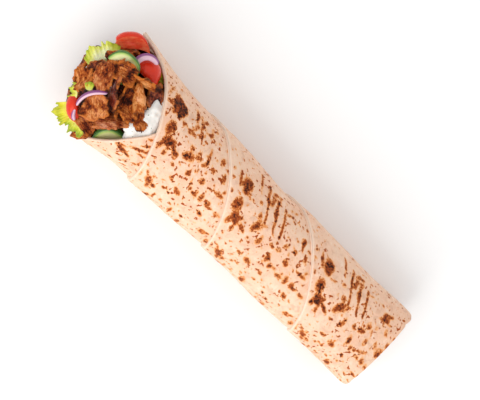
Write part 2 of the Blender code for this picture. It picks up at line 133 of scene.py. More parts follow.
# Scorch marks. They repeat each turn because they follow the plate's hot spots. Each row: angle on
# the wrap in degrees, distance behind the free edge, half-length and half-width in mm, how far its
# length leans from along the wrap towards round it, and depth of burn.
SPOTS = [
    (30, 14, 4.2, 2.2, 42, 1.45), (33, 17, 1.6, 1.2, 40, 1.1), (31, 8.5, 3.4, 0.9, 75, 0.85),
    (23, 13, 1.6, 0.9, 20, 0.9), (21, 16.5, 1.2, 0.6, 20, 0.55), (22, 19, 1.1, 0.6, 25, 0.6),
    (7, 7.8, 3.6, 1.9, 45, 1.4), (-5, 8.2, 2.6, 1.9, 30, 1.35), (-2, 12, 1.9, 0.7, 25, 0.9),
    (-12, 4.5, 3.0, 1.1, 50, 0.95), (-17, 8, 1.5, 1.0, 50, 1.0), (-10, 8.8, 1.4, 1.2, 0, 0.9),
    (-9, 14, 2.2, 1.2, -20, 1.3), (-12, 20, 1.0, 0.7, 20, 0.7), (3, 23.4, 3.8, 1.2, 46, 1.3),
    (15, 25.5, 1.8, 0.9, 45, 0.95), (7, 27, 2.6, 1.8, 45, 0.36), (-7, 27.5, 2.3, 1.0, 40, 0.95),
    (-1, 29.5, 2.0, 0.8, 50, 0.4), (11, 31, 1.6, 0.6, 30, 0.5), (-32, 19, 1.7, 1.0, 15, 0.8),
    (-33, 25.4, 2.1, 1.5, 20, 1.0), (-33, 36, 1.4, 1.1, -20, 0.65), (-38, 39.3, 1.0, 0.6, 30, 0.5),
    (-33, 56, 1.7, 1.4, -25, 0.95), (-34, 61, 0.8, 0.7, 0, 0.5), (-13, 36.8, 2.6, 1.2, 60, 1.1),
    (-18, 40, 1.8, 1.0, 40, 0.95), (-17, 43.4, 1.1, 0.8, 30, 0.75), (-20, 47.5, 2.3, 1.0, 10, 1.0),
    (-15, 49.5, 1.0, 0.7, 40, 0.6), (-17, 53, 2.3, 1.2, 62, 1.0), (-17, 58, 2.0, 1.1, 50, 1.0),
    (-19, 60, 2.2, 0.6, 15, 0.7), (-19, 66, 2.4, 1.2, 10, 0.55), (0, 37.5, 1.5, 0.9, 10, 0.95),
    (2, 43, 2.1, 0.8, 25, 0.85), (-3, 49.7, 1.9, 1.2, 38, 1.1), (6, 50.5, 0.9, 0.6, 30, 0.5),
    (-1, 62.5, 3.0, 0.9, 5, 1.0), (5, 66, 1.6, 0.6, 40, 0.7), (12, 48.5, 2.5, 0.7, 35, 0.85),
    (14, 55.5, 1.6, 0.8, 35, 0.95), (16, 63.7, 2.2, 1.1, 68, 1.0), (14, 70.5, 1.3, 0.9, 40, 1.0),
    (26, 66.5, 1.3, 0.8, 20, 0.8), (30, 61.7, 2.2, 1.1, 50, 0.85), (38, 69.5, 1.8, 0.9, 40, 0.75),
    (31, 38.3, 2.5, 1.1, 52, 1.2), (37, 35, 2.4, 1.1, 40, 1.05), (44, 38, 2.0, 0.9, 40, 0.85),
    (51, 40, 2.4, 0.8, 30, 0.95), (53, 44.5, 2.2, 0.7, 30, 0.8), (46, 43, 2.1, 0.8, 55, 0.7),
    (43, 51, 2.8, 0.6, 22, 0.85), (41, 54.5, 1.2, 0.6, 20, 0.65), (52, 54, 2.0, 0.5, 35, 0.5),
    (54, 58, 2.4, 0.6, 35, 0.5), (44, 59, 1.4, 0.6, 20, 0.45), (46, 66, 1.4, 0.6, 35, 0.55),
    (27, 25.5, 1.6, 0.9, 35, 0.55), (26, 57, 1.2, 0.5, 30, 0.5), (21, 49, 1.3, 0.5, 35, 0.5),
    (35, 3.6, 1.6, 0.6, 35, 0.65), (26, 2, 1.9, 0.6, 20, 0.65), (13, 1.8, 1.2, 0.7, 40, 1.0),
    (-54, 7.6, 2.2, 2.0, 30, 1.1), (-47, 5, 1.6, 0.9, -40, 0.7), (-46, 9.4, 1.1, 0.8, 0, 0.5),
    (-58, 11.8, 1.5, 1.3, 60, 0.95), (-63, 8.6, 2.1, 1.2, 85, 0.85), (-49, 17.2, 1.1, 0.8, 30, 0.8),
    (-45, 19.2, 0.9, 0.7, 40, 0.6), (-46, 21.2, 1.0, 0.8, 30, 0.75), (-41, 15, 1.7, 0.5, 25, 0.42),
    (-53, 26, 1.0, 0.9, 30, 0.7), (-47, 28.2, 0.8, 0.6, 30, 0.5), (-63, 29.2, 3.2, 1.7, 85, 1.0),
    (-45, 34.7, 1.3, 0.9, 20, 0.6), (-51, 44, 1.2, 1.0, 0, 0.7), (-56, 48, 1.2, 1.0, 0, 0.7),
    (-51, 63.5, 2.3, 1.5, 30, 0.9), (-47, 67, 1.1, 0.7, 30, 0.85), (-60, 69.5, 2.5, 1.6, 80, 0.65),
    (-66, 20.2, 1.6, 0.7, 85, 0.6), (-73, 15.5, 2.6, 0.8, 85, 0.6), (-80, 13, 3.0, 0.9, 88, 0.5),
    (-73, 43, 2.2, 0.8, 85, 0.5), (-75, 49, 3.4, 1.2, 88, 0.75), (-10, 31, 0.9, 0.5, 30, 0.42),
    (-3, 56, 0.9, 0.7, 0, 0.5), (3, 58, 0.9, 0.5, 30, 0.5), (-35, 8.5, 0.9, 0.6, 0, 0.4),
    (-54, 1, 3.0, 1.3, 88, 0.55),
]
# Scorch lines left by the plate's ridges: points of angle and distance along each, and depth of burn.
STREAKS = [
    ([(59, 29.8), (52, 28.6), (46, 27.3)], 0.95), ([(46, 27.3), (36, 26)], 0.35),
    ([(53, 36), (46, 34), (40, 32.4), (34, 31.6)], 1.15),
    ([(34, 31.6), (26, 30.8), (20, 30.2), (13, 29.2)], 0.9),
    ([(46, 41.5), (38, 40), (31, 38.8), (21, 37.4), (15, 36.4)], 1.0), ([(14, 36.3), (10, 36.8)], 0.85),
    ([(45, 48), (40, 46.7), (30, 45), (20, 43.2), (13, 42)], 1.05),
    ([(33, 63.8), (27, 61.4), (21, 60.8)], 0.7),
]
# The first turn has more, near its edge, and the last has its own by the closed end.
FIRST_SPOTS = [
    (43, 10.8, 3.8, 1.9, 45, 1.45), (44, 14.5, 2.0, 1.0, 50, 1.1), (36, 5.5, 2.6, 1.1, 20, 0.8),
    (31, 8, 2.4, 0.9, 35, 0.9), (38, 8.5, 2.2, 1.0, 60, 1.0), (33, 13, 2.4, 0.9, 35, 0.8),
    (42, 17.5, 1.8, 0.9, 50, 0.9), (49, 6, 2.4, 0.8, 30, 0.5), (28, 17, 1.8, 0.7, 40, 0.7),
    (27, 22, 1.9, 1.0, 30, 0.85), (36, 26.5, 3.0, 0.9, 40, 0.8), (33, 31, 2.6, 0.8, 40, 0.75),
    (44, 32.4, 1.6, 1.0, 30, 1.0), (50, 28.8, 3.8, 0.9, 60, 1.15), (12, 31.6, 1.7, 0.9, 30, 0.95),
    (18, 38, 2.6, 0.8, 70, 1.05), (28, 39.5, 2.2, 0.7, 70, 0.6), (2, 10, 3.4, 0.9, 20, 0.9),
    (-2, 15.4, 1.9, 0.8, 25, 1.1), (-12, 16, 1.1, 0.9, 20, 0.95), (52, 36, 2.6, 0.8, 30, 0.7),
    (44, 39.5, 2.6, 0.8, 55, 0.6), (16, 31, 2.0, 1.0, 50, 0.5),
]
LAST_SPOTS = [
    (34, 66, 2.4, 1.1, 45, 1.05), (27, 62.4, 1.5, 0.9, 30, 1.0), (30, 68, 2.2, 1.0, 50, 1.0),
    (37, 70, 1.6, 1.0, 20, 0.9), (44, 64.6, 1.3, 0.7, 35, 0.7), (-38, 53.4, 2.3, 1.0, 12, 0.85),
    (-35, 58, 1.2, 1.0, 60, 0.85), (-48, 55.5, 1.6, 0.8, 80, 0.75), (-12, 52.5, 4.4, 0.6, 20, 0.8),
    (-18, 57, 1.7, 1.0, 30, 0.6), (1, 61, 1.3, 0.5, 5, 0.7), (-2, 66.5, 1.6, 0.5, 8, 1.0),
    (6, 55, 1.8, 0.5, 85, 0.7), (2, 48, 1.9, 0.6, 20, 1.0), (4, 70, 1.5, 0.8, 60, 0.8),
    (9, 52, 2.4, 0.7, 30, 0.75),
]


def bell(across, along, wide, long):
    """1 at the middle of an oval, falling steeply past its two half-sizes."""
    return np.exp(-((across / wide) ** 2 + (along / long) ** 2) ** 1.25 * 0.75)


def loose_marks(rng, count, *spans):
    """Rows of marks drawn at random, each of a row's six values between its two limits."""
    return [[rng.uniform(*span) for span in spans] for _ in range(count)]


def marks_depth(rows, angle, behind, mm_a_degree):
    """Sum of the rows' ovals at these angles and distances behind the free edge."""
    total = np.zeros(angle.shape)
    for at, distance, long, wide, lean, burn in rows:
        off = ((angle - at + 180) % 360 - 180) * mm_a_degree
        run = behind - distance
        c, s = math.cos(math.radians(lean)), math.sin(math.radians(lean))
        total += burn * bell(off * c - run * s, run * c + off * s, wide, long)
    return total


def streak_depth(line, angle, behind):
    """A soft line through the points: 1 on it, falling off over 0.75 mm."""
    nearest = np.full(angle.shape, 99.0)
    for (a, d), (b, e) in zip(line[:-1], line[1:]):
        run = np.array([(b - a) * MM_A_DEGREE, e - d])
        off = np.stack([(angle - a) * MM_A_DEGREE, behind - d], -1)
        share = np.clip(off @ run / (run @ run), 0, 1)
        nearest = np.minimum(nearest, np.linalg.norm(off - share[..., None] * run, axis=-1))
    return np.exp(-(nearest / 0.75) ** 2)


def scorch_depth(phi, behind, turns, seed):
    """Sum of the marks. The first turn's pattern is drawn together past 30 mm and the last one's is
    drawn apart; loose small marks are added, more of them on the unseen side."""
    angle = np.degrees(np.angle(np.exp(1j * phi))) + 0 * behind
    turns = turns + 0 * behind
    first = np.clip((1.5 - turns) / 0.1, 0, 1)
    last = np.clip((turns - 2.5) / 0.1, 0, 1)
    step = np.clip((behind - 28.5) / 5.0, 0, 1)
    far = behind + first * 12.5 * step - last * 3.0 * np.clip((behind - 18) / 12, 0, 1)
    near_first = first * (1 - np.clip((behind - 18) / 8, 0, 1))
    rng = np.random.default_rng(seed)
    strays = loose_marks(rng, 95, (88, 276), (0, 72), (0.9, 2.8), (0.6, 1.5), (-20, 80), (0.5, 1.2))
    small = loose_marks(rng, 60, (-85, 80), (0, 72), (0.5, 0.9), (0.4, 0.6), (0, 80), (0.35, 0.6))
    repeated = marks_depth(SPOTS + strays + small, angle - 8 * near_first, far, MM_A_DEGREE)
    total = (1 - 0.45 * last * (behind > 49)) * repeated
    total += first * marks_depth(FIRST_SPOTS, angle, behind, MM_A_DEGREE)
    total += last * marks_depth(LAST_SPOTS, angle, behind, MM_A_DEGREE)
    for line, burn in STREAKS:
        total += (1 - 0.8 * first) * burn * streak_depth(line, angle, far)
    return DEEPEST_BURN * np.tanh(total / DEEPEST_BURN)


def panel(rows, cols, around=False):
    """Four-sided faces of a grid numbered row by row; `around` joins its last column to its first."""
    row = np.arange(rows - 1)[:, None] * cols
    col = np.arange(cols if around else cols - 1)[None, :]
    step = (col + 1) % cols
    return np.stack([row + col, row + step, row + cols + step, row + cols + col], -1).reshape(-1, 4)


def capped(rows, cols, ends):
    """Faces of a tube of closed rings, with a flat face on each of the rings named as ends."""
    faces = [tuple(face) for face in panel(rows, cols, True)]
    return faces + [tuple(range(ring * cols, (ring + 1) * cols)) for ring in ends]


def solid(name, points, faces, material, replaces=(), readings=None, chart=None):
    """Stores a closed piece: mm to metres, faces outward, shaded smooth, riding on the wrap.
    Readings are numbers per point for the material; a chart gives it a flat position in mm."""
    mesh = bpy.data.meshes.new(name)
    mesh.from_pydata((points * 0.001).tolist(), [], [list(f) for f in faces])
    for title, values in (readings or {}).items():
        reading = mesh.attributes.new(title, "FLOAT", "POINT")
        reading.data.foreach_set("value", np.asarray(values, np.float32).ravel())
    if chart is not None:
        layer = mesh.uv_layers.new(name="chart")
        corners = np.zeros(len(mesh.loops), np.int32)
        mesh.loops.foreach_get("vertex_index", corners)
        layer.data.foreach_set("uv", np.asarray(chart, np.float32).reshape(-1, 2)[corners].ravel())
    work = bmesh.new()
    work.from_mesh(mesh)
    bmesh.ops.remove_doubles(work, verts=work.verts, dist=1e-7)
    bmesh.ops.recalc_face_normals(work, faces=work.faces)
    work.to_mesh(mesh)
    work.free()
    mesh.shade_smooth()
    mesh.materials.append(material)
    piece = bpy.data.objects.new(name, mesh)
    bpy.context.scene.collection.objects.link(piece)
    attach(piece, "root")
    if replaces:
        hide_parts(*replaces)
    return piece


class Reading:
    """A number that varies over a surface. Python's + - * on it add Math nodes."""

    def __init__(self, finish, socket):
        self.finish, self.socket = finish, socket

    def __add__(self, other):
        return self.finish.maths("ADD", self, other)

    def __sub__(self, other):
        return self.finish.maths("SUBTRACT", self, other)

    def __rsub__(self, other):
        return self.finish.maths("SUBTRACT", other, self)

    def __mul__(self, other):
        return self.finish.maths("MULTIPLY", self, other)

    def rising(self, low, high):
        """0 below low, 1 above high, eased between."""
        return self.finish.node("ShaderNodeMapRange", {"interpolation_type": "SMOOTHSTEP"},
                                {"Value": self, "From Min": low, "From Max": high})

    __radd__ = __add__
    __rmul__ = __mul__


class Finish:
    """One material: a Principled shader, and node(), which adds any other node."""

    def __init__(self, name, **steady):
        self.material = bpy.data.materials.new(name)
        self.material.use_nodes = True
        self.tree = self.material.node_tree
        self.shader = self.tree.nodes["Principled BSDF"]
        for title, value in steady.items():
            self.shader.inputs[title.replace("_", " ")].default_value = value

    def node(self, kind, settings=None, sockets=None, out=0):
        """Adds a node: its settings first, then its sockets' values or links. Gives one output."""
        made = self.tree.nodes.new(kind)
        for title, value in (settings or {}).items():
            if title == "stops":
                for _ in value[2:]:
                    made.color_ramp.elements.new(0.5)
                for stop, (place, colour) in zip(made.color_ramp.elements, value):
                    stop.position, stop.color = place, (*colour, 1.0)
            else:
                setattr(made, title, value)
        for title, value in (sockets or {}).items():
            if isinstance(value, Reading):
                self.tree.links.new(value.socket, made.inputs[title])
            else:
                made.inputs[title].default_value = value
        return Reading(self, made.outputs[out])

    def maths(self, operation, one, two):
        return self.node("ShaderNodeMath", {"operation": operation}, {0: one, 1: two})

    def place(self):
        return self.node("ShaderNodeTexCoord", out="Object")

    def chart(self, scale=(1, 1, 1)):
        """The piece's own flat position in mm, stretched by scale."""
        flat = self.node("ShaderNodeUVMap", {"uv_map": "chart"})
        return self.node("ShaderNodeMapping", sockets={"Vector": flat, "Scale": scale})

    def reading(self, title):
        return self.node("ShaderNodeAttribute", {"attribute_name": title}, out="Fac")

    def grain(self, where, scale, detail=3.0, roughness=0.55, bend=0.0):
        """Noise from 0 to 1 with this many cells a metre, or a mm on a chart."""
        return self.node("ShaderNodeTexNoise", sockets={"Vector": where, "Scale": scale, "Detail": detail,
                                                        "Roughness": roughness, "Distortion": bend})

    def blend(self, share, one, two):
        """Colour one with colour two laid over it by share."""
        one = one if isinstance(one, Reading) else (*one, 1.0)
        two = two if isinstance(two, Reading) else (*two, 1.0)
        settings = {"data_type": "RGBA", "blend_type": "MIX"}
        return self.node("ShaderNodeMix", settings, {0: share, 6: one, 7: two}, out=2)

    def bump(self, height, distance, strength=1.0, over=None):
        """Surface relief of this depth in metres."""
        sockets = {"Height": height, "Distance": distance, "Strength": strength}
        if over is not None:
            sockets["Normal"] = over
        return self.node("ShaderNodeBump", sockets=sockets)

    def feed(self, **links):
        """Joins varying colours and numbers to the shader's sockets."""
        for title, value in links.items():
            self.tree.links.new(value.socket, self.shader.inputs[title.replace("_", " ")])
        return self.material


def baked_dough():
    """Pale floury crumb, warm where it browned, with scorch spots that go from an orange halo through
    orange brown to nearly black; fine pores and blisters in relief."""
    dough = Finish("baked_dough", Subsurface_Weight=0.08, Subsurface_Scale=0.003, Specular_IOR_Level=0.2,
                   Subsurface_Radius=(1.0, 0.5, 0.25))
    where = dough.place()
    burn = dough.reading("scorch")
    cut = dough.reading("cut")
    ragged = dough.grain(where, 620, 4.0, 0.72, 0.8)
    fine = dough.grain(where, 1900, 2.0, 0.6)
    warm = dough.grain(where, 45, 3.0, 0.6)
    cloud = dough.grain(where, 210, 4.0, 0.65, 0.4)
    near_burn = burn.rising(0.05, 0.5)
    level = burn * 1.06 + (ragged - 0.5) * 3.0 * near_burn + (fine - 0.5) * 0.8 * near_burn
    freckle = dough.grain(where, 430, 2.0, 0.5, 0.3)
    flecks = freckle.rising(0.585, 0.67) * warm.rising(0.30, 0.56) * 0.72
    level = (level + flecks) * (1 - cut)
    pale = dough.blend(warm.rising(0.30, 0.70), (0.84, 0.585, 0.430), (0.83, 0.51, 0.350))
    pale = dough.blend(cloud.rising(0.50, 0.66) * 0.75, pale, (0.70, 0.42, 0.29))
    pale = dough.blend(cloud.rising(0.46, 0.28) * 0.6, pale, (0.90, 0.69, 0.56))
    pale = dough.blend(fine.rising(0.52, 0.72) * 0.35, pale, (0.66, 0.36, 0.22))
    warmed = dough.blend(burn.rising(0.01, 0.34) * 0.60, pale, (0.86, 0.44, 0.18))
    tan = dough.blend(level.rising(0.16, 0.42), warmed, (0.72, 0.25, 0.055))
    brown = dough.blend(level.rising(0.34, 0.70), tan, (0.34, 0.060, 0.008))
    black = dough.blend(level.rising(0.74, 1.30), brown, (0.030, 0.006, 0.002))
    crumb = dough.blend(cut * 0.75, black, (0.90, 0.69, 0.55))
    blister = dough.grain(where, 240, 3.0, 0.55)
    relief = dough.bump(blister, 0.0014, 0.6)
    relief = dough.bump(cloud, 0.0006, 0.5, relief)
    relief = dough.bump(fine, 0.00028, 0.6, relief)
    rough = 0.62 + fine * 0.25
    return dough.feed(Base_Color=crumb, Roughness=rough, Normal=relief)


BAKED_DOUGH = baked_dough()

# The collar's own marks, in the same terms; their distance is from the notched rim.
COLLAR_SPOTS = [
    (-40, 6, 6.5, 1.1, -12, 1.05), (-27, 8, 3.2, 1.2, 25, 1.0), (-16, 7, 2.8, 1.0, 60, 0.85),
    (-20, 12, 2.2, 1.8, 0, 1.1), (-30, 13, 2.4, 0.8, 10, 0.7), (-50, 11, 1.3, 0.9, 20, 0.7),
    (-52, 17, 1.2, 0.8, 0, 0.9), (-45, 20, 1.3, 1.0, 0, 0.85), (-62, 9, 1.2, 0.7, 0, 0.7),
    (-66, 15, 1.4, 0.8, 10, 0.8), (-60, 22, 1.1, 0.9, 0, 0.8), (-75, 6, 1.6, 0.6, 10, 0.6),
    (-78, 18, 1.8, 0.8, 10, 0.7), (-38, 24, 1.1, 0.9, 0, 0.7), (-9, 3, 2.2, 0.9, 20, 0.6),
    (-35, 2.5, 2.4, 0.7, 10, 0.5),
]


def sleeve_scorch(phi, behind):
    """The collar's own marks, then loose ones over the rest of the sleeve and its closed end."""
    angle = np.degrees(np.angle(np.exp(1j * phi)))
    rng = np.random.default_rng(21)
    loose = loose_marks(rng, 36, (85, 272), (1, 40), (0.9, 2.6), (0.6, 1.4), (-20, 60), (0.5, 1.1))
    loose += loose_marks(rng, 60, (0, 360), (196, 240), (0.9, 3.0), (0.6, 1.3), (-20, 60), (0.4, 1.0))
    total = marks_depth(COLLAR_SPOTS + loose, angle, behind, SLEEVE_MM_A_DEGREE)
    return DEEPEST_BURN * np.tanh(total / DEEPEST_BURN)


def bread_sleeve():
    """Closed shell carried round the wrap: out from the bore's inner end, along the bore to the
    notched rim, over its rounded lip, back along the outside and over the pressed closed end."""
    cols = 320
    phi = np.linspace(-np.pi, np.pi, cols, endpoint=False)[None, :]
    ragged = lumps(together(14 * np.cos(phi), 14 * np.sin(phi), 0 * phi), 6, 5)
    rim = collar_rim(phi) + 0.5 * ragged
    mouth = np.linspace(0, 1, 44)[:, None] ** 1.15
    outer_x = rim * (1 - mouth) + -58 * mouth
    lip = np.linspace(0, 1, 7)[1:-1, None] * np.pi
    lip_x = rim - 0.9 * np.sin(lip)
    lip_inset = WALL / 2 * (1 + np.cos(lip))
    body_x = np.linspace(-58, 96, 40)[1:, None] + 0 * phi
    turn_in = np.linspace(0, 1, 26)[1:, None]
    end_x = 96 + (END_X - 96) * np.sin(turn_in * np.pi / 2) ** 0.9 + 0 * phi
    end_inset = 3.4 * (1 - np.sqrt(np.clip(1 - np.clip((end_x - (END_X - 3.4)) / 3.4, 0, 1) ** 2, 0, 1)))
    lean = END_LEAN * np.clip((end_x - 92) / 26, 0, 1)
    bore = [bread_point(x + 0 * phi, phi, WALL) for x in np.linspace(104, -52, 20)]
    bore = np.concatenate([np.stack(bore)[:, 0], bread_point(outer_x[::-2], phi + 0 * outer_x[::-2], WALL)])
    outside = np.concatenate([
        bread_point(lip_x, phi + 0 * lip_x, lip_inset),
        bread_point(outer_x, phi + 0 * outer_x, 0.0),
        bread_point(body_x, phi + 0 * body_x, 0.0),
        bread_point(end_x, phi + 0 * end_x, end_inset, lean),
    ])
    last = outside[-1]
    centre = last.mean(0)
    share = np.linspace(1, 0, 42)[1:, None, None]
    cap = centre + (last - centre) * share
    flap = 17.0 + 0.16 * cap[..., 1] + 1.6 * np.sin(cap[..., 1] / 7.0) - cap[..., 2]
    relief = 0.5 * lumps(cap, 9, 8) + 0.9 - 1.5 / (1 + np.exp(flap / 0.35))
    cap[..., 0] += relief * np.clip((1 - share[..., 0]) * 9, 0, 1)
    inner_middle = bore[0].mean(0)
    inner_cap = np.stack([inner_middle + (bore[0] - inner_middle) * k for k in (0.0, 0.5)])
    rows = np.concatenate([inner_cap, bore, outside, cap])
    behind = rows[..., 0] - collar_rim(phi)
    scorch = sleeve_scorch(phi + 0 * behind, behind)
    scorch[-len(cap):] = 2.2 * np.clip(lumps(cap, 3.4, 51) * 0.7 + lumps(cap, 1.6, 52) * 0.4 - 0.30, 0, 1)
    inside = np.zeros(len(rows))
    inside[:len(inner_cap) + len(bore)] = 1.0
    scorch = scorch * (1 - 0.9 * inside[:, None])
    waved = uneven(rows, scorch)
    lip_rows = slice(len(inner_cap) + len(bore) - 1, len(inner_cap) + len(bore) + 6)
    cut = np.zeros(rows.shape[:2])
    cut[lip_rows] = 0.8
    return solid("bread_sleeve", waved.reshape(-1, 3), panel(len(rows), cols, True), BAKED_DOUGH,
                 ("flatbread",), {"scorch": scorch, "cut": cut})


def bread_roll():
    """Closed strip carried along the spiral: its top rises from flush at the far side to proud at
    the free edge, which is a rounded lip, and its back lies in the layer beneath."""
    first, last, columns = 0.5, 3.8, 960
    turn = np.linspace(first, last, columns)[:, None]
    phi = -2 * np.pi * turn
    wave = lumps(together(turn * 40, 0 * turn, 0 * turn), 3, 6)
    near = seam_x(turn) + 0.45 * wave
    far = np.minimum(seam_x(turn + 1) + 1.0, END_X - 2)
    stop = END_X - 3
    q = np.linspace(0, 1, 95)[None, :]
    x = np.minimum(near + q * (far - near), stop)
    fade = np.clip((turn - first) / 0.12, 0, 1) * np.clip((last - turn) / 0.15, 0, 1)
    fade = fade * np.clip((stop - x) / 22, 0, 1)
    proud = 0.1 + (LAYER_STEP - 0.1) * (1 - q) ** 0.8 * fade
    proud = proud - 0.35 * np.clip((q - 0.93) / 0.07, 0, 1)
    top = bread_point(x, phi + 0 * x, -proud)
    back = np.array([1.0, 0.5, 0.0])[None, :]
    back_x = np.minimum(near + back * (far - near), stop)
    under = bread_point(back_x, phi + 0 * back_x, 0.9)
    lip = np.linspace(0, 1, 6)[None, 1:-1]
    edge_rise = proud[:, :1] * (1 - lip) - 0.9 * lip
    edge_x = np.minimum(near - 0.55 * np.sin(lip * np.pi) ** 0.7, stop)
    edge = bread_point(edge_x, phi + 0 * edge_x, -edge_rise)
    loop = np.concatenate([top, under, edge], 1)
    behind = x - near
    scorch = scorch_depth(phi, behind, turn, 4) * np.clip(behind / 1.2, 0, 1)
    scorch = np.concatenate([scorch, np.zeros((columns, 7))], 1)
    points = uneven(loop, scorch)
    cut = np.clip(1.15 - behind / 1.5, 0, 1)
    cut = np.concatenate([cut, np.zeros((columns, 3)), np.ones((columns, 4))], 1)
    faces = capped(columns, loop.shape[1], (0, columns - 1))
    return solid("bread_roll", points.reshape(-1, 3), faces, BAKED_DOUGH, ("flatbread",),
                 {"scorch": scorch, "cut": cut})


bread_sleeve()
bread_roll()

# --- Meat ----------------------------------------------------------------------------------------
# Doner meat: stacked, roasted on an upright spit and shaved off in thin slices with dark crisp
# edges and moist, fibrous faces. It is packed through the bread and heaped beyond the mouth.
DOME_START = -107.0
DOME_LENGTH = 24.0
DOME_RADIUS = 32.0
BLUNT = 2.6
LEAN = math.radians(18.0)
ALONG = Vector((math.cos(LEAN), 0.0, math.sin(LEAN)))
ACROSS = Vector((0.0, 1.0, 0.0))
OUT = Vector((-math.sin(LEAN), 0.0, math.cos(LEAN)))


def heap_depth(point):
    """How far a point is outside the heap: a blunt dome beyond the mouth, the bore inside it."""
    x, y, z = point
    middle = float(np.interp(x, STATIONS, HALF_HEIGHT)) - REST_CUT
    if x > DOME_START:
        return math.hypot(y, z - middle) - (float(np.interp(x, STATIONS, HALF_WIDTH)) - WALL - 0.3)
    forward = (DOME_START - x) * DOME_RADIUS / DOME_LENGTH
    return (forward ** BLUNT + math.hypot(y, z - middle) ** BLUNT) ** (1 / BLUNT) - DOME_RADIUS


def settle(base, outward):
    """First point of the heap met by a line coming in along `outward`, and the heap's normal."""
    heights = np.arange(95.0, 4.0, -0.25)
    depths = np.array([heap_depth(base + outward * float(h)) for h in heights])
    inside = np.flatnonzero(depths <= 0)
    found = inside[0] if len(inside) else int(np.argmin(depths))
    point = base + outward * float(heights[found])
    slope = [heap_depth(point + Vector(s)) - heap_depth(point - Vector(s))
             for s in ((0.5, 0, 0), (0, 0.5, 0), (0, 0, 0.5))]
    return point, Vector(slope).normalized()


def frame_at(point, normal, direction, tip, pitch, lift):
    """Frame with its long axis along `direction` in the heap's surface, then tipped and pitched."""
    direction = (direction - normal * direction.dot(normal)).normalized()
    frame_matrix = Matrix((direction, normal.cross(direction), normal)).transposed().to_4x4()
    frame_matrix.translation = point + normal * lift
    frame_matrix = frame_matrix @ Matrix.Rotation(math.radians(tip), 4, "X")
    return frame_matrix @ Matrix.Rotation(math.radians(pitch), 4, "Y")


def placing(along, across, turn, tip=0.0, pitch=0.0, lift=0.0, facing=0.0):
    """Frame of a piece on the side of the heap that leans up at the mouth."""
    point, normal = settle(ALONG * along + ACROSS * across + Vector((0, 0, MIDDLE_Z)), OUT)
    normal = (normal * (1 - facing) + OUT * facing).normalized()
    angle = math.radians(turn)
    return frame_at(point, normal, ALONG * math.cos(angle) + ACROSS * math.sin(angle), tip, pitch, lift)


def low_placing(away, round_it, turn, tip=0.0, lift=0.0):
    """Frame on the heap's blunt front: `away` degrees from its tip, `round_it` degrees from the top."""
    a, b, angle = math.radians(away), math.radians(round_it), math.radians(turn)
    outward = Vector((-math.cos(a), math.sin(a) * math.sin(b), math.sin(a) * math.cos(b)))
    point, normal = settle(Vector((DOME_START + 8.0, 0, 32.0)), outward)
    side = normal.cross(Vector((0.0, 0.31, 0.95))).normalized()
    direction = side * math.cos(angle) + normal.cross(side) * math.sin(angle)
    return frame_at(point, normal, direction, tip, 0, lift)


def carried(matrix, points):
    """Points taken from a piece's own frame to the wrap's."""
    turn = np.array(matrix.to_3x3())
    return points @ turn.T + np.array(matrix.translation)


def disc(rows, cols, square=0.0):
    """Square grid from -1 to 1 drawn in to a round disc: each side bows out to the circle, by less
    the squarer the disc is to be. Also the radius, which is 1 all round the border."""
    v, u = np.meshgrid(np.linspace(-1, 1, rows), np.linspace(-1, 1, cols), indexing="ij")
    radius = np.sqrt(np.clip(u * u + v * v - u * u * v * v, 0, 1))
    x = u * (square + (1 - square) * np.sqrt(1 - v * v / 2))
    y = v * (square + (1 - square) * np.sqrt(1 - u * u / 2))
    return x, y, radius


def rolled_up(points, axis, degrees_a_mm):
    """Bends a sheet round a line along one axis, edges towards +Z, by this angle for each mm."""
    if abs(degrees_a_mm) < 1e-6:
        return points
    bend = math.radians(degrees_a_mm)
    angle, reach = points[..., axis] * bend, 1 / bend - points[..., 2]
    bent = points.copy()
    bent[..., axis], bent[..., 2] = reach * np.sin(angle), 1 / bend - reach * np.cos(angle)
    return bent


def two_faced(rows, cols):
    """Faces of a closed piece made of a top grid and a bottom grid joined round the border."""
    grid = panel(rows, cols)
    count = rows * cols
    number = np.arange(count).reshape(rows, cols)
    border = np.concatenate([number[0, :-1], number[:-1, -1], number[-1, :0:-1], number[:0:-1, 0]])
    after = np.roll(border, -1)
    side = np.stack([border, border + count, after + count, after], -1)
    return np.concatenate([grid, grid[:, ::-1] + count, side])


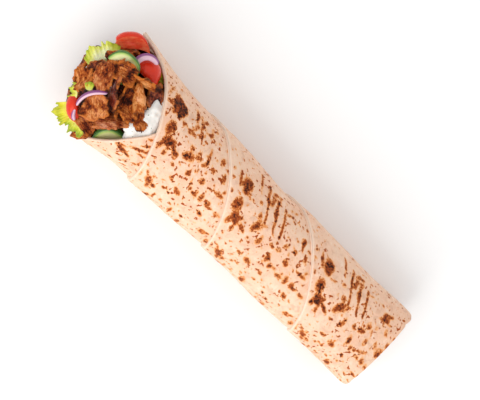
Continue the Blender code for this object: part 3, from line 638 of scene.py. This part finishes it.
def roast_meat():
    """Browned meat: fibres along the slice, light and dark by turns, light pink patches painted on as
    highlights, orange-brown crisp rims that are black here and there, and a film of fat that catches the
    light."""
    meat = Finish("roast_meat", Specular_IOR_Level=0.14, Coat_Roughness=0.16)
    where = meat.place()
    edge = meat.reading("edge")
    # Each slice's own lightness; on the packed meat this reading also carries painted shade for the gaps
    # between the slices.
    tone = meat.reading("tone")
    red = meat.reading("red")
    fibre = meat.grain(meat.chart((0.35, 1.1, 1)), 1.0, 5.0, 0.68, 0.5)
    strand = meat.grain(meat.chart((0.9, 3.0, 1)), 1.0, 3.0, 0.65, 0.4)
    patch = meat.grain(where, 190, 3.0, 0.6)
    spot = meat.grain(where, 640, 3.0, 0.65)
    level = tone + 0.04 + (fibre - 0.5) * 1.5 + (patch - 0.5) * 1.9 + (strand - 0.5) * 1.0
    brown = meat.node("ShaderNodeValToRGB", {"stops": [
        (0.10, (0.014, 0.002, 0.0004)), (0.32, (0.105, 0.012, 0.0012)), (0.50, (0.30, 0.050, 0.0045)),
        (0.68, (0.52, 0.125, 0.014)), (0.95, (0.80, 0.33, 0.10))]}, {"Fac": level})
    ruddy = meat.node("ShaderNodeValToRGB", {"stops": [
        (0.05, (0.020, 0.002, 0.001)), (0.30, (0.110, 0.008, 0.003)), (0.55, (0.250, 0.024, 0.006)),
        (0.95, (0.520, 0.140, 0.050))]}, {"Fac": level})
    colour = meat.blend(red, brown, ruddy)
    # Painted highlight: light pink patches over the meat's colour stand in for light caught on its wet faces.
    pink_highlight = patch.rising(0.60, 0.76) * meat.grain(where, 330, 2.0, 0.5, 0.2).rising(0.5, 0.7) * 0.55
    colour = meat.blend(pink_highlight, colour, (0.66, 0.30, 0.20))
    crisp = edge.rising(0.74, 0.95) * patch.rising(0.36, 0.54) * (0.45 + tone * 0.9)
    rim = meat.blend(crisp, colour, (0.60, 0.155, 0.016))
    char = edge.rising(0.76, 1.0) * patch.rising(0.54, 0.40) * (0.35 + spot * 0.9)
    char = char + patch.rising(0.64, 0.78) * spot.rising(0.4, 0.6) * 0.5
    burnt = meat.blend(char, rim, (0.020, 0.004, 0.002))
    rough = 0.56 - fibre * 0.16 + spot * 0.12
    relief = meat.bump(fibre, 0.0014, 0.85)
    relief = meat.bump(strand, 0.0007, 0.7, relief)
    relief = meat.bump(spot, 0.0005, 0.55, relief)
    fat = meat.reading("gloss") * patch.rising(0.42, 0.60) * 0.9 + spot.rising(0.62, 0.72) * 0.5
    return meat.feed(Base_Color=burnt, Roughness=rough, Coat_Weight=fat, Normal=relief)


ROAST_MEAT = roast_meat()


def meat_slice(name, matrix, size, curl, bow, seed, tone, red, gloss, replaces):
    """Rounded square drawn out to the slice's length and width, its outline torn, both faces ridged
    along the fibres; then rolled by `curl` degrees at its long edges and `bow` at its ends."""
    length, width, thickness = size
    rows, cols = 46, 58
    rng = np.random.default_rng(seed)
    x, y, radius = disc(rows, cols, 0.45)
    angle = np.arctan2(y, x)
    phases = rng.uniform(0, 2 * np.pi, 4)
    outline = sum(np.sin((k + 2) * angle + phases[k]) / (k + 2) for k in range(4))
    ring = np.stack([np.cos(angle) * 9, np.sin(angle) * 9, 0 * angle + seed * 7.3], -1)
    torn = lumps(ring, 1.1, seed) * 0.08 + lumps(ring, 2.6, seed + 1) * 0.16
    reach = 0.92 + radius ** 1.5 * (0.16 * outline + torn)
    flat = np.stack([length / 2 * x * reach, width / 2 * y * reach, 0 * x], -1)
    grain_at = flat * np.array([0.45, 1.0, 1.0]) + seed * 13.0
    ridge = lumps(grain_at, 1.35, seed) * 0.26 + lumps(grain_at, 0.7, seed + 3) * 0.14
    pits = np.clip(lumps(flat + seed * 4.0, 2.2, seed + 8) - 0.25, 0, 1) * 0.5
    sag = lumps(flat + seed * 5.0, 7.0, seed + 2) * 1.5 + lumps(flat + seed * 9.0, 3.2, seed + 5) * 0.7
    half = thickness / 2 * np.sqrt(np.clip(1 - radius ** 9, 0.015, 1))
    half = half * (1 + 0.3 * lumps(flat, 4.0, seed + 4))
    inner = 1 - radius ** 8
    top, bottom = flat.copy(), flat.copy()
    top[..., 2] = sag + half + (ridge - pits) * inner
    bottom[..., 2] = sag - half + (ridge + pits * 0.5) * inner * 0.8
    points = np.concatenate([top.reshape(-1, 3), bottom.reshape(-1, 3)])
    points = rolled_up(rolled_up(points, 1, 2 * curl / width), 0, 2 * bow / length)
    count = len(points)
    chart = np.concatenate([flat.reshape(-1, 3)[:, :2]] * 2) + seed * 11.0
    laid = carried(matrix, points)
    laid[:, 2] = np.where(laid[:, 2] < 3.0, 0.5 + 2.5 * np.exp((laid[:, 2] - 3.0) / 2.5), laid[:, 2])
    return solid(name, laid, two_faced(rows, cols), ROAST_MEAT, replaces,
                 {"edge": np.concatenate([radius.ravel()] * 2), "tone": np.full(count, tone),
                  "red": np.full(count, red), "gloss": np.full(count, gloss)}, chart)


def packed_meat():
    """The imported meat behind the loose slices: rings round the middle line, in by the depth of the
    loose layer on the open side, with a broken, lumpy face at the mouth."""
    cols = 120
    phi = np.linspace(-np.pi, np.pi, cols, endpoint=False)[None, :]
    part = np.linspace(0.0, 1, 40)[:, None]
    out = np.sin(part * np.pi / 2) ** (2 / BLUNT)
    forward = np.cos(part * np.pi / 2) ** (2 / BLUNT)
    upward = np.cos(phi) * (1 - forward) * math.cos(LEAN) + forward * math.sin(LEAN)
    depth = 4.4 + 5.6 * np.interp(upward, [-0.1, 0.3], [0, 1])
    x = DOME_START - DOME_LENGTH * forward * (1 - depth / DOME_RADIUS)
    middle = np.interp(x, STATIONS, HALF_HEIGHT) - REST_CUT
    bore = np.interp(x, STATIONS, HALF_WIDTH) - WALL - 0.8
    reach = np.minimum(DOME_RADIUS * out * (1 - depth / DOME_RADIUS), bore)
    dome = np.stack([x, reach * np.sin(phi), middle + reach * np.cos(phi)], -1)
    tail_x = np.concatenate([np.linspace(DOME_START + 2, -60, 22), np.linspace(-50, 104, 12)])
    tail_x = tail_x[:, None] + 0 * phi
    loose = np.interp(tail_x, [-75, -55], [1, 0]) * 6.4 * np.interp(np.cos(phi), [-0.1, 0.3], [0, 1])
    tail = bread_point(tail_x, phi + 0 * tail_x, WALL + 0.8 + loose)
    tail[..., 2] = np.maximum(tail[..., 2], 3.0)
    rows = np.concatenate([dome, tail])
    broken = 1.5 * lumps(rows, 5.5, 31) + 0.9 * lumps(rows, 2.4, 32)
    broken = broken * np.interp(rows[..., 0], [-80, -66], [1, 0])
    middle_line = together(np.maximum(rows[..., 0], DOME_START), 0, 30)
    outward = rows - middle_line
    outward /= np.maximum(np.linalg.norm(outward, axis=-1, keepdims=True), 1.0)
    rows = rows + outward * np.minimum(broken, 0.4)[..., None]
    faces = capped(len(rows), cols, (len(rows) - 1,))
    chart = together(rows[..., 0], phi * 30)
    shape = rows.shape[:2]
    # Painted shade: the packed meat is darker the higher it lies, because there it shows only in the shadowed
    # gaps between the slices.
    tone = 0.36 - 0.26 * np.interp(rows[..., 2], [14, 34], [0, 1])
    return solid("packed_meat", rows.reshape(-1, 3), faces, ROAST_MEAT, ("meat_core",),
                 {"edge": np.full(shape, 0.5), "tone": tone, "red": np.full(shape, 0.3),
                  "gloss": np.full(shape, 0.0)}, chart)


packed_meat()

# The slices that show: along, across, turn, tip, lift, how far each faces out at the mouth; length
# along the fibres, width, thickness; curl and bow in degrees; how light, how ruddy and how glossy.
SLICES = [
    (-113.5, -6.3, -43, 4, 0.2, 0.4, 14.5, 14, 1.9, 30, 22, 0.70, 0.0, 0.15),
    (-106.4, 1.7, -62, 6, 0.9, 0.4, 20, 12.5, 2.2, -24, -12, 0.58, 0.25, 0.5),
    (-96.6, 0.1, -61, 62, -0.4, 0.3, 24, 9, 2.0, 14, -14, 0.34, 0.9, 0.7),
    (-90.1, 0.0, -62, -26, -1.2, 0.4, 23, 15, 1.6, 74, 16, 0.34, 0.0, 0.0),
    (-86.4, 6.2, -43, 10, 3.0, 0.5, 19, 7.5, 2.4, -40, -14, 0.80, 0.0, 1.0),
    (-92.3, 13.7, 20, 68, 0.8, 0.5, 28, 7.5, 1.8, 16, -10, 0.62, 0.0, 0.1),
    (-88.3, -13.0, 38, -40, 0.2, 0.4, 22, 9.5, 2.0, -26, -10, 0.60, 0.55, 1.0),
    (-98.8, -13.2, -60, 6, 0.2, 0.3, 16, 18, 2.2, -20, 18, 0.6, 0.0, 0.3),
    (-79.7, 13.3, -43, 10, -0.8, 0.4, 16, 10, 2.2, 24, -10, 0.26, 0.5, 0.6),
    (-78.1, -1.3, -26, -14, -0.6, 0.5, 15, 9, 2.0, -22, 8, 0.5, 0.0, 0.2),
    (-96.5, -23.3, -19, -34, -0.2, 0.3, 17, 8.5, 1.8, 18, -12, 0.44, 0.2, 0.2),
    (-96.2, -29.0, 58, -10, 1.6, 0.5, 13, 5.0, 1.8, -10, 14, 0.62, 0.0, 0.1),
    (-99.8, 11.0, 25, 14, 0.8, 0.5, 16, 13, 1.8, 40, -16, 0.44, 0.0, 0.15),
    (-109.4, 13.1, 53, 12, 1.4, 0.4, 11, 9, 1.8, 30, 20, 0.50, 0.45, 0.4),
    (-85.0, -4.0, -10, -14, 0.2, 0.4, 13, 9, 1.8, 34, -10, 0.5, 0.0, 0.1),
    (-113.7, 3.2, 64, 24, -0.4, 0.3, 13, 7.5, 2.0, 18, -16, 0.28, 0.3, 0.3),
]
for number, row in enumerate(SLICES, 1):
    along, across, turn, tip, lift, facing, length, width, thickness, curl, bow, tone, red, gloss = row
    name = f"meat_slice_{number}"
    meat_slice(name, placing(along, across, turn, tip, 0, lift, facing), (length, width, thickness),
               curl, bow, 10 + number, tone, red, gloss, (name,))

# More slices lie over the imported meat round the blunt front, low down and at the sides: degrees
# away from the tip, degrees round it from the top, turn, tip and lift.
LOW_SLICES = [
    (16, 150, 10, 4, -2), (30, 88, 60, -5, -5), (34, 205, 95, 4, -4), (42, 250, 20, 6, -5),
    (52, 128, 140, -5, -5), (55, 170, 30, 5, -2), (60, 215, 75, -6, -3), (66, 100, 100, 5, -4),
    (72, 150, 160, 6, -2), (76, 190, 40, -4, -2), (75, 235, 120, 5, -2), (46, 60, 20, 7, -5),
    (62, 262, 50, -4, -5), (90, 265, 40, 6, -2), (96, 230, 70, -5, -2), (98, 195, 20, 5, -2),
    (96, 160, 120, 5, -2), (92, 125, 60, -5, -2),
]
for number, (away, round_it, turn, tip, lift) in enumerate(LOW_SLICES):
    size = (17 + 3 * math.sin(number * 2.1), 12 + 3 * math.cos(number * 1.7), 2.4)
    meat_slice(f"low_slice_{number + 1}", low_placing(away, round_it, turn, tip, lift), size,
               14 * math.sin(number * 3.3), -12, 60 + number, 0.46 + 0.14 * math.sin(number * 1.3),
               0.25 * (number % 3 == 0), 0.3, ("meat_core",))

# --- Tomato --------------------------------------------------------------------------------------
# Wedges of ripe tomato: two wet cut faces with firm outer flesh and seedy pulp, and a taut,
# glossy skin on the round side.
def ripe_tomato():
    tomato = Finish("ripe_tomato", Specular_IOR_Level=0.3, Subsurface_Weight=0.06, Subsurface_Scale=0.003,
                    Subsurface_Radius=(1.0, 0.2, 0.1))
    where = tomato.place()
    skin = tomato.reading("skin")
    pulp = tomato.reading("pulp")
    cloud = tomato.grain(where, 260, 3.0, 0.6)
    fine = tomato.grain(where, 900, 2.0, 0.6)
    streak = tomato.grain(tomato.chart((0.22, 1.1, 1)), 1.0, 3.0, 0.6)
    pale = (cloud * 0.5 + streak * 0.5).rising(0.36, 0.64)
    flesh = tomato.blend(pale, (0.80, 0.055, 0.018), (0.90, 0.22, 0.10))
    flesh = tomato.blend(pulp * streak.rising(0.40, 0.60), flesh, (0.66, 0.022, 0.006))
    peel = tomato.blend(cloud, (0.74, 0.045, 0.010), (0.56, 0.014, 0.004))
    colour = tomato.blend(skin, flesh, peel)
    rough = 0.30 - skin * 0.12 + fine * 0.10
    relief = tomato.bump(streak, 0.0008, 0.6)
    relief = tomato.bump(fine, 0.0002, 0.35, relief)
    return tomato.feed(Base_Color=colour, Roughness=rough, Normal=relief)


RIPE_TOMATO = ripe_tomato()


def tomato_wedge(name, matrix, length, height, width, seed, replaces, start=-1.0):
    """Loops round the wedge carried along it: from the inner ridge up one cut face, over the round
    skin and down the other; each loop shrinks as a circle does towards the two tips. A wedge that
    was cut across starts short of its tip, closed there by loops drawn in to a point."""
    rows, side, back = 50, 18, 16
    place = np.sin(np.linspace(math.asin(start), np.pi / 2, rows))[:, None]
    size = np.clip(1 - np.abs(place) ** 2.4, 0.0, 1) ** 0.5
    step = np.linspace(0, 1, side)[None, :-1]
    arc = np.linspace(-1, 1, back)[None, :]
    y = np.concatenate([-0.5 * step, 0.5 * arc, 0.5 * step[:, ::-1]], 1)
    z = np.concatenate([0.66 * step, 0.66 + 0.34 * np.sqrt(1 - arc ** 2 * 0.999), 0.66 * step[:, ::-1]], 1)
    skin = np.concatenate([0 * step, 1 + 0 * arc, 0 * step], 1) + 0 * place
    depth = np.concatenate([step, 1 + 0 * arc, step[:, ::-1]], 1)
    pulp = np.exp(-((depth - 0.48) / 0.26) ** 2) * np.clip(1 - np.abs(place) * 1.15, 0, 1) * (1 - skin)
    points = together(length / 2 * place, width * y * size,
                                          height * (z * size - 0.3 * (1 - size))).copy()
    dent = lumps(points + seed * 17.0, 2.6, seed)
    points[..., 1] -= np.sign(y) * (1.1 * pulp * (0.6 + dent) + 0.25) * (1 - skin)
    points = points + lumps(points + seed * 3.0, 7.0, seed + 1)[..., None] * 0.35
    if start > -1:
        middle = points[0].mean(0)
        closing = middle + (points[0] - middle) * np.array([0.02, 0.4, 0.7, 0.9])[:, None, None]
        points = np.concatenate([closing, points])
        skin, pulp = (np.concatenate([0 * field[:4], field]) for field in (skin, pulp))
    chart = points[..., [0, 2]] + seed * 30.0
    return solid(name, carried(matrix, points.reshape(-1, 3)), panel(*points.shape[:2], True), RIPE_TOMATO,
                 replaces, {"skin": skin, "pulp": pulp}, chart)


tomato_wedge("tomato_1", placing(-109.3, 23.9, 48, -58, 0, -3.2, 0.4), 22, 9.5, 12, 1, ("tomato_1",), -0.7)
tomato_wedge("tomato_2", placing(-92.0, 20.6, 8, -12, 0, -8.2, 0.4), 21, 12, 13, 2, ("tomato_2",))
tomato_wedge("tomato_3", placing(-107.1, -22.4, -50, 0, 0, -5.4, 0.2), 18, 8.5, 8, 3, ("tomato_3",))

# --- Cucumber ------------------------------------------------------------------------------------
# Rounds of cucumber cut straight across: dark green skin, a bright line under it, pale flesh.
def fresh_cucumber():
    green = Finish("fresh_cucumber", Specular_IOR_Level=0.5, Subsurface_Weight=0.12, Subsurface_Scale=0.003,
                   Subsurface_Radius=(0.7, 1.0, 0.4))
    where = green.place()
    edge = green.reading("edge")
    cloud = green.grain(where, 300, 3.0, 0.6)
    stripe = green.grain(where, 420, 2.0, 0.5)
    colour = green.node("ShaderNodeValToRGB", {"stops": [
        (0.0, (0.62, 0.58, 0.28)), (0.40, (0.76, 0.72, 0.44)), (0.78, (0.66, 0.68, 0.30)),
        (0.90, (0.34, 0.50, 0.10)), (0.965, (0.045, 0.15, 0.018))]}, {"Fac": edge + (cloud - 0.5) * 0.05})
    seeds = cloud.rising(0.55, 0.7) * (1 - edge.rising(0.35, 0.5)) * 0.5
    colour = green.blend(seeds, colour, (0.76, 0.76, 0.46))
    colour = green.blend(edge.rising(0.97, 1.0) * stripe.rising(0.5, 0.66) * 0.6, colour, (0.12, 0.27, 0.04))
    rough = 0.28 + cloud * 0.15
    return green.feed(Base_Color=colour, Roughness=rough, Normal=green.bump(cloud, 0.0005, 0.5))


FRESH_CUCUMBER = fresh_cucumber()


def cucumber_round(name, matrix, radius, thickness, seed, replaces, low=1.0):
    """Rings from the middle of one face, over the eased skin edge, to the middle of the other; the
    round waves a little and its ring is not quite a circle. `low` draws in the side that lies
    against the bread."""
    cols = 96
    angle = np.linspace(0, 2 * np.pi, cols, endpoint=False)[None, :]
    face = np.concatenate([np.linspace(0, 0.93, 16), [0.965, 0.985, 1.0]])
    reach = np.concatenate([face, [1.0], face[::-1]])[:, None]
    skin_edge = [0.48, 0.42, 0.30, 0.0, -0.30, -0.42, -0.48]
    height = np.concatenate([np.full(16, 0.5), skin_edge, np.full(16, -0.5)])[:, None]
    out = radius * reach * (1 + 0.025 * np.sin(3 * angle + seed) + 0.015 * np.sin(5 * angle))
    points = together(out * np.cos(angle), out * np.sin(angle), thickness * height).copy()
    points[..., 1] = np.where(points[..., 1] < 0, points[..., 1] * low, points[..., 1])
    points[..., 2] += 0.9 * reach ** 2 * np.sin(2 * angle + seed) + 0.12 * lumps(points + seed, 2.2, seed)
    edge = np.where(np.abs(height) < 0.45, 1.0, reach) + 0 * angle
    return solid(name, carried(matrix, points.reshape(-1, 3)), panel(len(reach), cols, True), FRESH_CUCUMBER,
                 replaces, {"edge": edge})


cucumber_round("cucumber_1", placing(-103.6, 12.4, 36, 34, 0, -2.8, 0.5), 9.6, 3.4, 1, ("cucumber_1",))
cucumber_round("cucumber_2", placing(-80.4, -23.0, 45, 26, 0, -4.5, 0.6), 10.8, 3.6, 2, ("cucumber_2",), 0.3)

# --- Onion ---------------------------------------------------------------------------------------
# Strips of red onion, cut from rings: a thin purple skin on the outside, pale pink flesh inside.
def red_onion():
    onion = Finish("red_onion", Specular_IOR_Level=0.5, Subsurface_Weight=0.15, Subsurface_Scale=0.002,
                   Subsurface_Radius=(1.0, 0.5, 0.7))
    skin = onion.reading("skin")
    lines = onion.grain(onion.chart((0.12, 1.4, 1)), 1.0, 3.0, 0.6)
    flesh = onion.blend(lines, (0.84, 0.62, 0.66), (0.62, 0.34, 0.50))
    colour = onion.blend(skin.rising(0.10, 0.75), flesh, (0.24, 0.055, 0.20))
    return onion.feed(Base_Color=colour, Roughness=0.24 + lines * 0.15, Normal=onion.bump(lines, 0.0004, 0.5))


RED_ONION = red_onion()


def onion_strip(name, matrix, radius, width, thickness, sweep, seed, replaces):
    """A flattened oval carried along an arc, narrowing to both ends."""
    rows, cols = 60, 24
    step = np.linspace(-1, 1, rows)[:, None]
    angle = np.radians(sweep) / 2 * step
    taper = np.sqrt(np.clip(1 - 0.55 * step ** 2 - 0.44 * step ** 10, 0.0, 1))
    round_it = np.linspace(0, 2 * np.pi, cols, endpoint=False)[None, :]
    across = np.sign(np.cos(round_it)) * np.abs(np.cos(round_it)) ** 0.7 * width / 2 * taper
    out = np.sin(round_it) * thickness / 2 * taper
    wobble = 0.5 * np.sin(2.2 * step + seed)
    reach = radius + out - 0.5 * (across / max(width, 1)) ** 2 + wobble
    swing = across + 0.8 * np.sin(1.7 * step + seed)
    points = np.stack([reach * np.sin(angle), reach * np.cos(angle) - radius, swing], -1)
    skin = np.clip(np.sin(round_it) * 1.3, 0, 1) + 0 * step
    chart = together(radius * angle, round_it * 3 + seed)
    return solid(name, carried(matrix, points.reshape(-1, 3)), capped(rows, cols, (0, rows - 1)), RED_ONION,
                 replaces, {"skin": skin}, chart)


onion_strip("onion_1", placing(-99.4, 23.4, 60, 10, 0, 1.2, 0.7), 7.2, 3.2, 4.0, 150, 1, ("onion_1",))
onion_strip("onion_2", placing(-105.1, -9.8, 64, 20, 0, 2.0, 0.3), 16, 3.6, 2.4, 72, 2, ("onion_2",))
onion_strip("onion_3", placing(-105.0, -22.9, 130, 24, 0, 1.4, 0.3), 12, 4.4, 2.4, 36, 3, ("onion_3",))

# --- Lettuce -------------------------------------------------------------------------------------
# Torn pieces of frilly lettuce: a thick pale rib, thin crinkled leaf and a tightly ruffled margin.
def crisp_lettuce():
    leaf = Finish("crisp_lettuce", Specular_IOR_Level=0.4, Subsurface_Weight=0.2, Subsurface_Scale=0.002,
                  Subsurface_Radius=(0.6, 1.0, 0.2))
    where = leaf.place()
    margin = leaf.reading("margin")
    gold = leaf.reading("gold")
    vein = leaf.grain(leaf.chart((0.55, 0.18, 1)), 1.0, 4.0, 0.65, 0.5)
    cloud = leaf.grain(where, 300, 3.0, 0.6)
    level = margin + (vein - 0.5) * 0.45 + (cloud - 0.5) * 0.55
    green = leaf.node("ShaderNodeValToRGB", {"stops": [
        (0.08, (0.74, 0.78, 0.50)), (0.34, (0.62, 0.68, 0.22)), (0.62, (0.44, 0.53, 0.045)),
        (0.98, (0.17, 0.31, 0.018))]}, {"Fac": level})
    yellow = leaf.node("ShaderNodeValToRGB", {"stops": [
        (0.08, (0.84, 0.80, 0.48)), (0.38, (0.78, 0.72, 0.11)), (0.70, (0.68, 0.62, 0.025)),
        (0.98, (0.40, 0.45, 0.018))]}, {"Fac": level})
    return leaf.feed(Base_Color=leaf.blend(gold, green, yellow), Roughness=0.40 + cloud * 0.15,
                     Normal=leaf.bump(vein, 0.0009, 0.7))


CRISP_LETTUCE = crisp_lettuce()


def lettuce_leaf(name, matrix, length, width, ruffle, seed, replaces=(), thickness=0.8, gold=0.0, rib=0.0):
    """A sheet from its torn foot (v = 0) to its margin (v = 1): it arches along its length, and
    waves that grow towards the margin ruffle it; a rib, if it has one, runs up its middle."""
    rows, cols = 40, 96
    v, u = np.meshgrid(np.linspace(0, 1, rows), np.linspace(-1, 1, cols), indexing="ij")
    rng = np.random.default_rng(seed)
    a, b, c = rng.uniform(0, 2 * np.pi, 3)
    slow = np.sin(6.5 * u + a)
    quick = np.sin(15 * u + b + 1.5 * slow) + 0.5 * np.sin(27 * u + c)
    frill = ruffle * (v ** 1.5 * slow + 0.5 * v ** 3 * quick)
    notch = lumps(np.stack([u * length * 0.5, 0 * u, 0 * u + seed * 3.0], -1), 1.7, seed)
    x = length / 2 * u * (0.70 + 0.30 * v)
    y = width * (v - 0.5) * (1 - 0.30 * u * u) + 0.4 * frill + 1.3 * v ** 4 * notch
    z = frill - 0.07 * length * u * u
    flat = np.stack([x, y, 0 * x + seed * 9.0], -1)
    crinkle = 0.5 * lumps(flat, 2.6, seed) * (0.4 + v) + 0.22 * lumps(flat, 1.2, seed + 1)
    ribbed = np.exp(-(u / max(rib, 0.01)) ** 2) * np.clip(1.6 - v, 0, 1) if rib else 0 * u
    half = thickness / 2 * (1 - 0.5 * v) + 0.8 * ribbed
    top, bottom = together(x, y, z + crinkle + half), together(x, y, z + crinkle - half)
    points = carried(matrix, np.concatenate([top.reshape(-1, 3), bottom.reshape(-1, 3)]))
    margin = np.clip(0.25 + 0.75 * v - 0.9 * ribbed, 0, 1)
    chart = np.concatenate([np.stack([x, y], -1).reshape(-1, 2)] * 2) + seed * 20.0
    return solid(name, points, two_faced(rows, cols), CRISP_LETTUCE, replaces,
                 {"margin": np.concatenate([margin.ravel()] * 2), "gold": np.full(2 * margin.size, gold)},
                 chart)


lettuce_leaf("lettuce_1", placing(-114.1, 8.2, 62, 6, 0, -2.4, 0.7), 21, 18, 1.5, 5, ("lettuce_1",),
             gold=0.45, rib=0.75)
lettuce_leaf("lettuce_2", placing(-88.3, 25.8, 140, 20, 0, 0.4, 0.6), 17, 8, 1.2, 6, ("lettuce_2",), gold=0.6)
lettuce_leaf("lettuce_3", placing(-110.2, -27.0, 151, 0, 0, -0.6, 0.7), 13, 12, 1.4, 3,
             ("lettuce_3",), gold=1.0)
lettuce_leaf("lettuce_4", placing(-100.4, -28.0, -172, 0, 0, 0.2, 0.6), 12, 9, 1.2, 4,
             ("lettuce_4",), gold=0.5)
lettuce_leaf("lettuce_scrap_1", placing(-108.1, -7.4, 30, 10, 0, 0.8), 6, 4, 0.5, 8, gold=0.4)
lettuce_leaf("lettuce_scrap_2", placing(-113.4, -15.1, 136, 10, 0, -0.2), 11, 6, 0.8, 9, gold=0.7)

# --- Sauce ---------------------------------------------------------------------------------------
# Thick white yoghurt sauce with garlic and herbs, spooned in along the notch of the bread.
def yoghurt():
    sauce = Finish("yoghurt_sauce", Specular_IOR_Level=0.5, Subsurface_Weight=0.3, Subsurface_Scale=0.004,
                   Subsurface_Radius=(1.0, 0.9, 0.8))
    where = sauce.place()
    cloud = sauce.grain(where, 240, 3.0, 0.6)
    speck = sauce.grain(where, 620, 1.0, 0.5)
    colour = sauce.blend(cloud, (0.88, 0.88, 0.86), (0.82, 0.80, 0.75))
    colour = sauce.blend(speck.rising(0.70, 0.74) * 0.8, colour, (0.10, 0.16, 0.05))
    return sauce.feed(Base_Color=colour, Roughness=0.28 + cloud * 0.15, Normal=sauce.bump(cloud, 0.0008, 0.5))


YOGHURT = yoghurt()


def sauce_pool(name, matrix, length, width, thickness, bend, seed, replaces):
    """A disc swollen to a soft pillow with a wandering outline and thick folds, bent in its plane."""
    rows, cols = 50, 70
    x, y, radius = disc(rows, cols)
    angle = np.arctan2(y, x)
    outline = 1 + radius * 0.13 * (np.sin(3 * angle + seed) + 0.7 * np.sin(5 * angle + 2 * seed))
    flat = np.stack([length / 2 * x * outline, width / 2 * y * outline + bend * x * x, 0 * x], -1)
    swell = thickness / 2 * np.sqrt(np.clip(1 - radius ** 3, 0.0, 1))
    fold = 0.8 * lumps(flat + seed * 6.0, 4.0, seed) + 0.4 * lumps(flat + seed * 8.0, 1.8, seed)
    top, bottom = flat.copy(), flat.copy()
    top[..., 2] = swell + fold * (1 - radius ** 4) - 3.0 * x * x
    bottom[..., 2] = -swell - 3.0 * x * x
    points = carried(matrix, np.concatenate([top.reshape(-1, 3), bottom.reshape(-1, 3)]))
    return solid(name, points, two_faced(rows, cols), YOGHURT, replaces)


sauce_pool("sauce", placing(-72.4, 0.4, 88, 0, 0, -2.2, 0.2), 33, 14, 5, 3, 2, ("sauce",))

# --- Table and light -----------------------------------------------------------------------------
# A plain white table under a large soft lamp on the near side, and an even pale room.
def white_table():
    paint = Finish("white_table", Base_Color=(0.93, 0.93, 0.93, 1), Roughness=0.9, Specular_IOR_Level=0.1)
    reach = np.array([[-3, -3, -0.0005], [3, -3, -0.0005], [3, 3, -0.0005], [-3, 3, -0.0005]])
    mesh = bpy.data.meshes.new("table")
    mesh.from_pydata(reach.tolist(), [], [(0, 1, 2, 3)])
    mesh.materials.append(paint.material)
    table = bpy.data.objects.new("table", mesh)
    bpy.context.scene.collection.objects.link(table)


white_table()


def lamp(name, place, aim, size, power, colour=(1, 1, 1)):
    """A square soft lamp pointed from its place at its aim, in metres."""
    light = bpy.data.lights.new(name, "AREA")
    light.size, light.energy, light.color = size, power, colour
    holder = bpy.data.objects.new(name, light)
    holder.location = place
    holder.rotation_euler = (Vector(aim) - Vector(place)).to_track_quat("-Z", "Y").to_euler()
    bpy.context.scene.collection.objects.link(holder)


lamp("near_lamp", (-0.25, -0.95, 0.85), (-0.02, 0, 0.02), 1.2, 11.5, (1.0, 0.985, 0.96))
room = bpy.data.worlds.new("room")
room.use_nodes = True
room.node_tree.nodes["Background"].inputs["Color"].default_value = (1, 1, 1, 1)
room.node_tree.nodes["Background"].inputs["Strength"].default_value = 0.90
bpy.context.scene.world = room
bpy.context.scene.view_settings.view_transform = "Standard"

# --- Camera --------------------------------------------------------------------------------------
# Almost straight above, leaning 18 degrees towards the mouth, turned so the wrap runs from the
# upper left to the lower right.
TURN = math.radians(44.6)
LENS_LENGTH = 144.5
SENSOR_WIDTH = 36.0
AIM_ALONG = -8.4         # mm from the middle of the wrap
AIM_ACROSS = 5.9
CAMERA_DISTANCE = 1.1    # metres
lens = bpy.data.cameras.new("camera")
lens.lens, lens.sensor_width, lens.clip_end = LENS_LENGTH, SENSOR_WIDTH, 20.0
camera = bpy.data.objects.new("camera", lens)
up = ACROSS * math.cos(TURN) - ALONG * math.sin(TURN)
axes = Matrix((up.cross(OUT), up, OUT)).transposed().to_4x4()
aim = Vector((0, 0, MIDDLE_Z)) + ALONG * AIM_ALONG + ACROSS * AIM_ACROSS
axes.translation = aim * 0.001 + OUT * CAMERA_DISTANCE
camera.matrix_world = axes
bpy.context.scene.collection.objects.link(camera)
bpy.context.scene.camera = camera
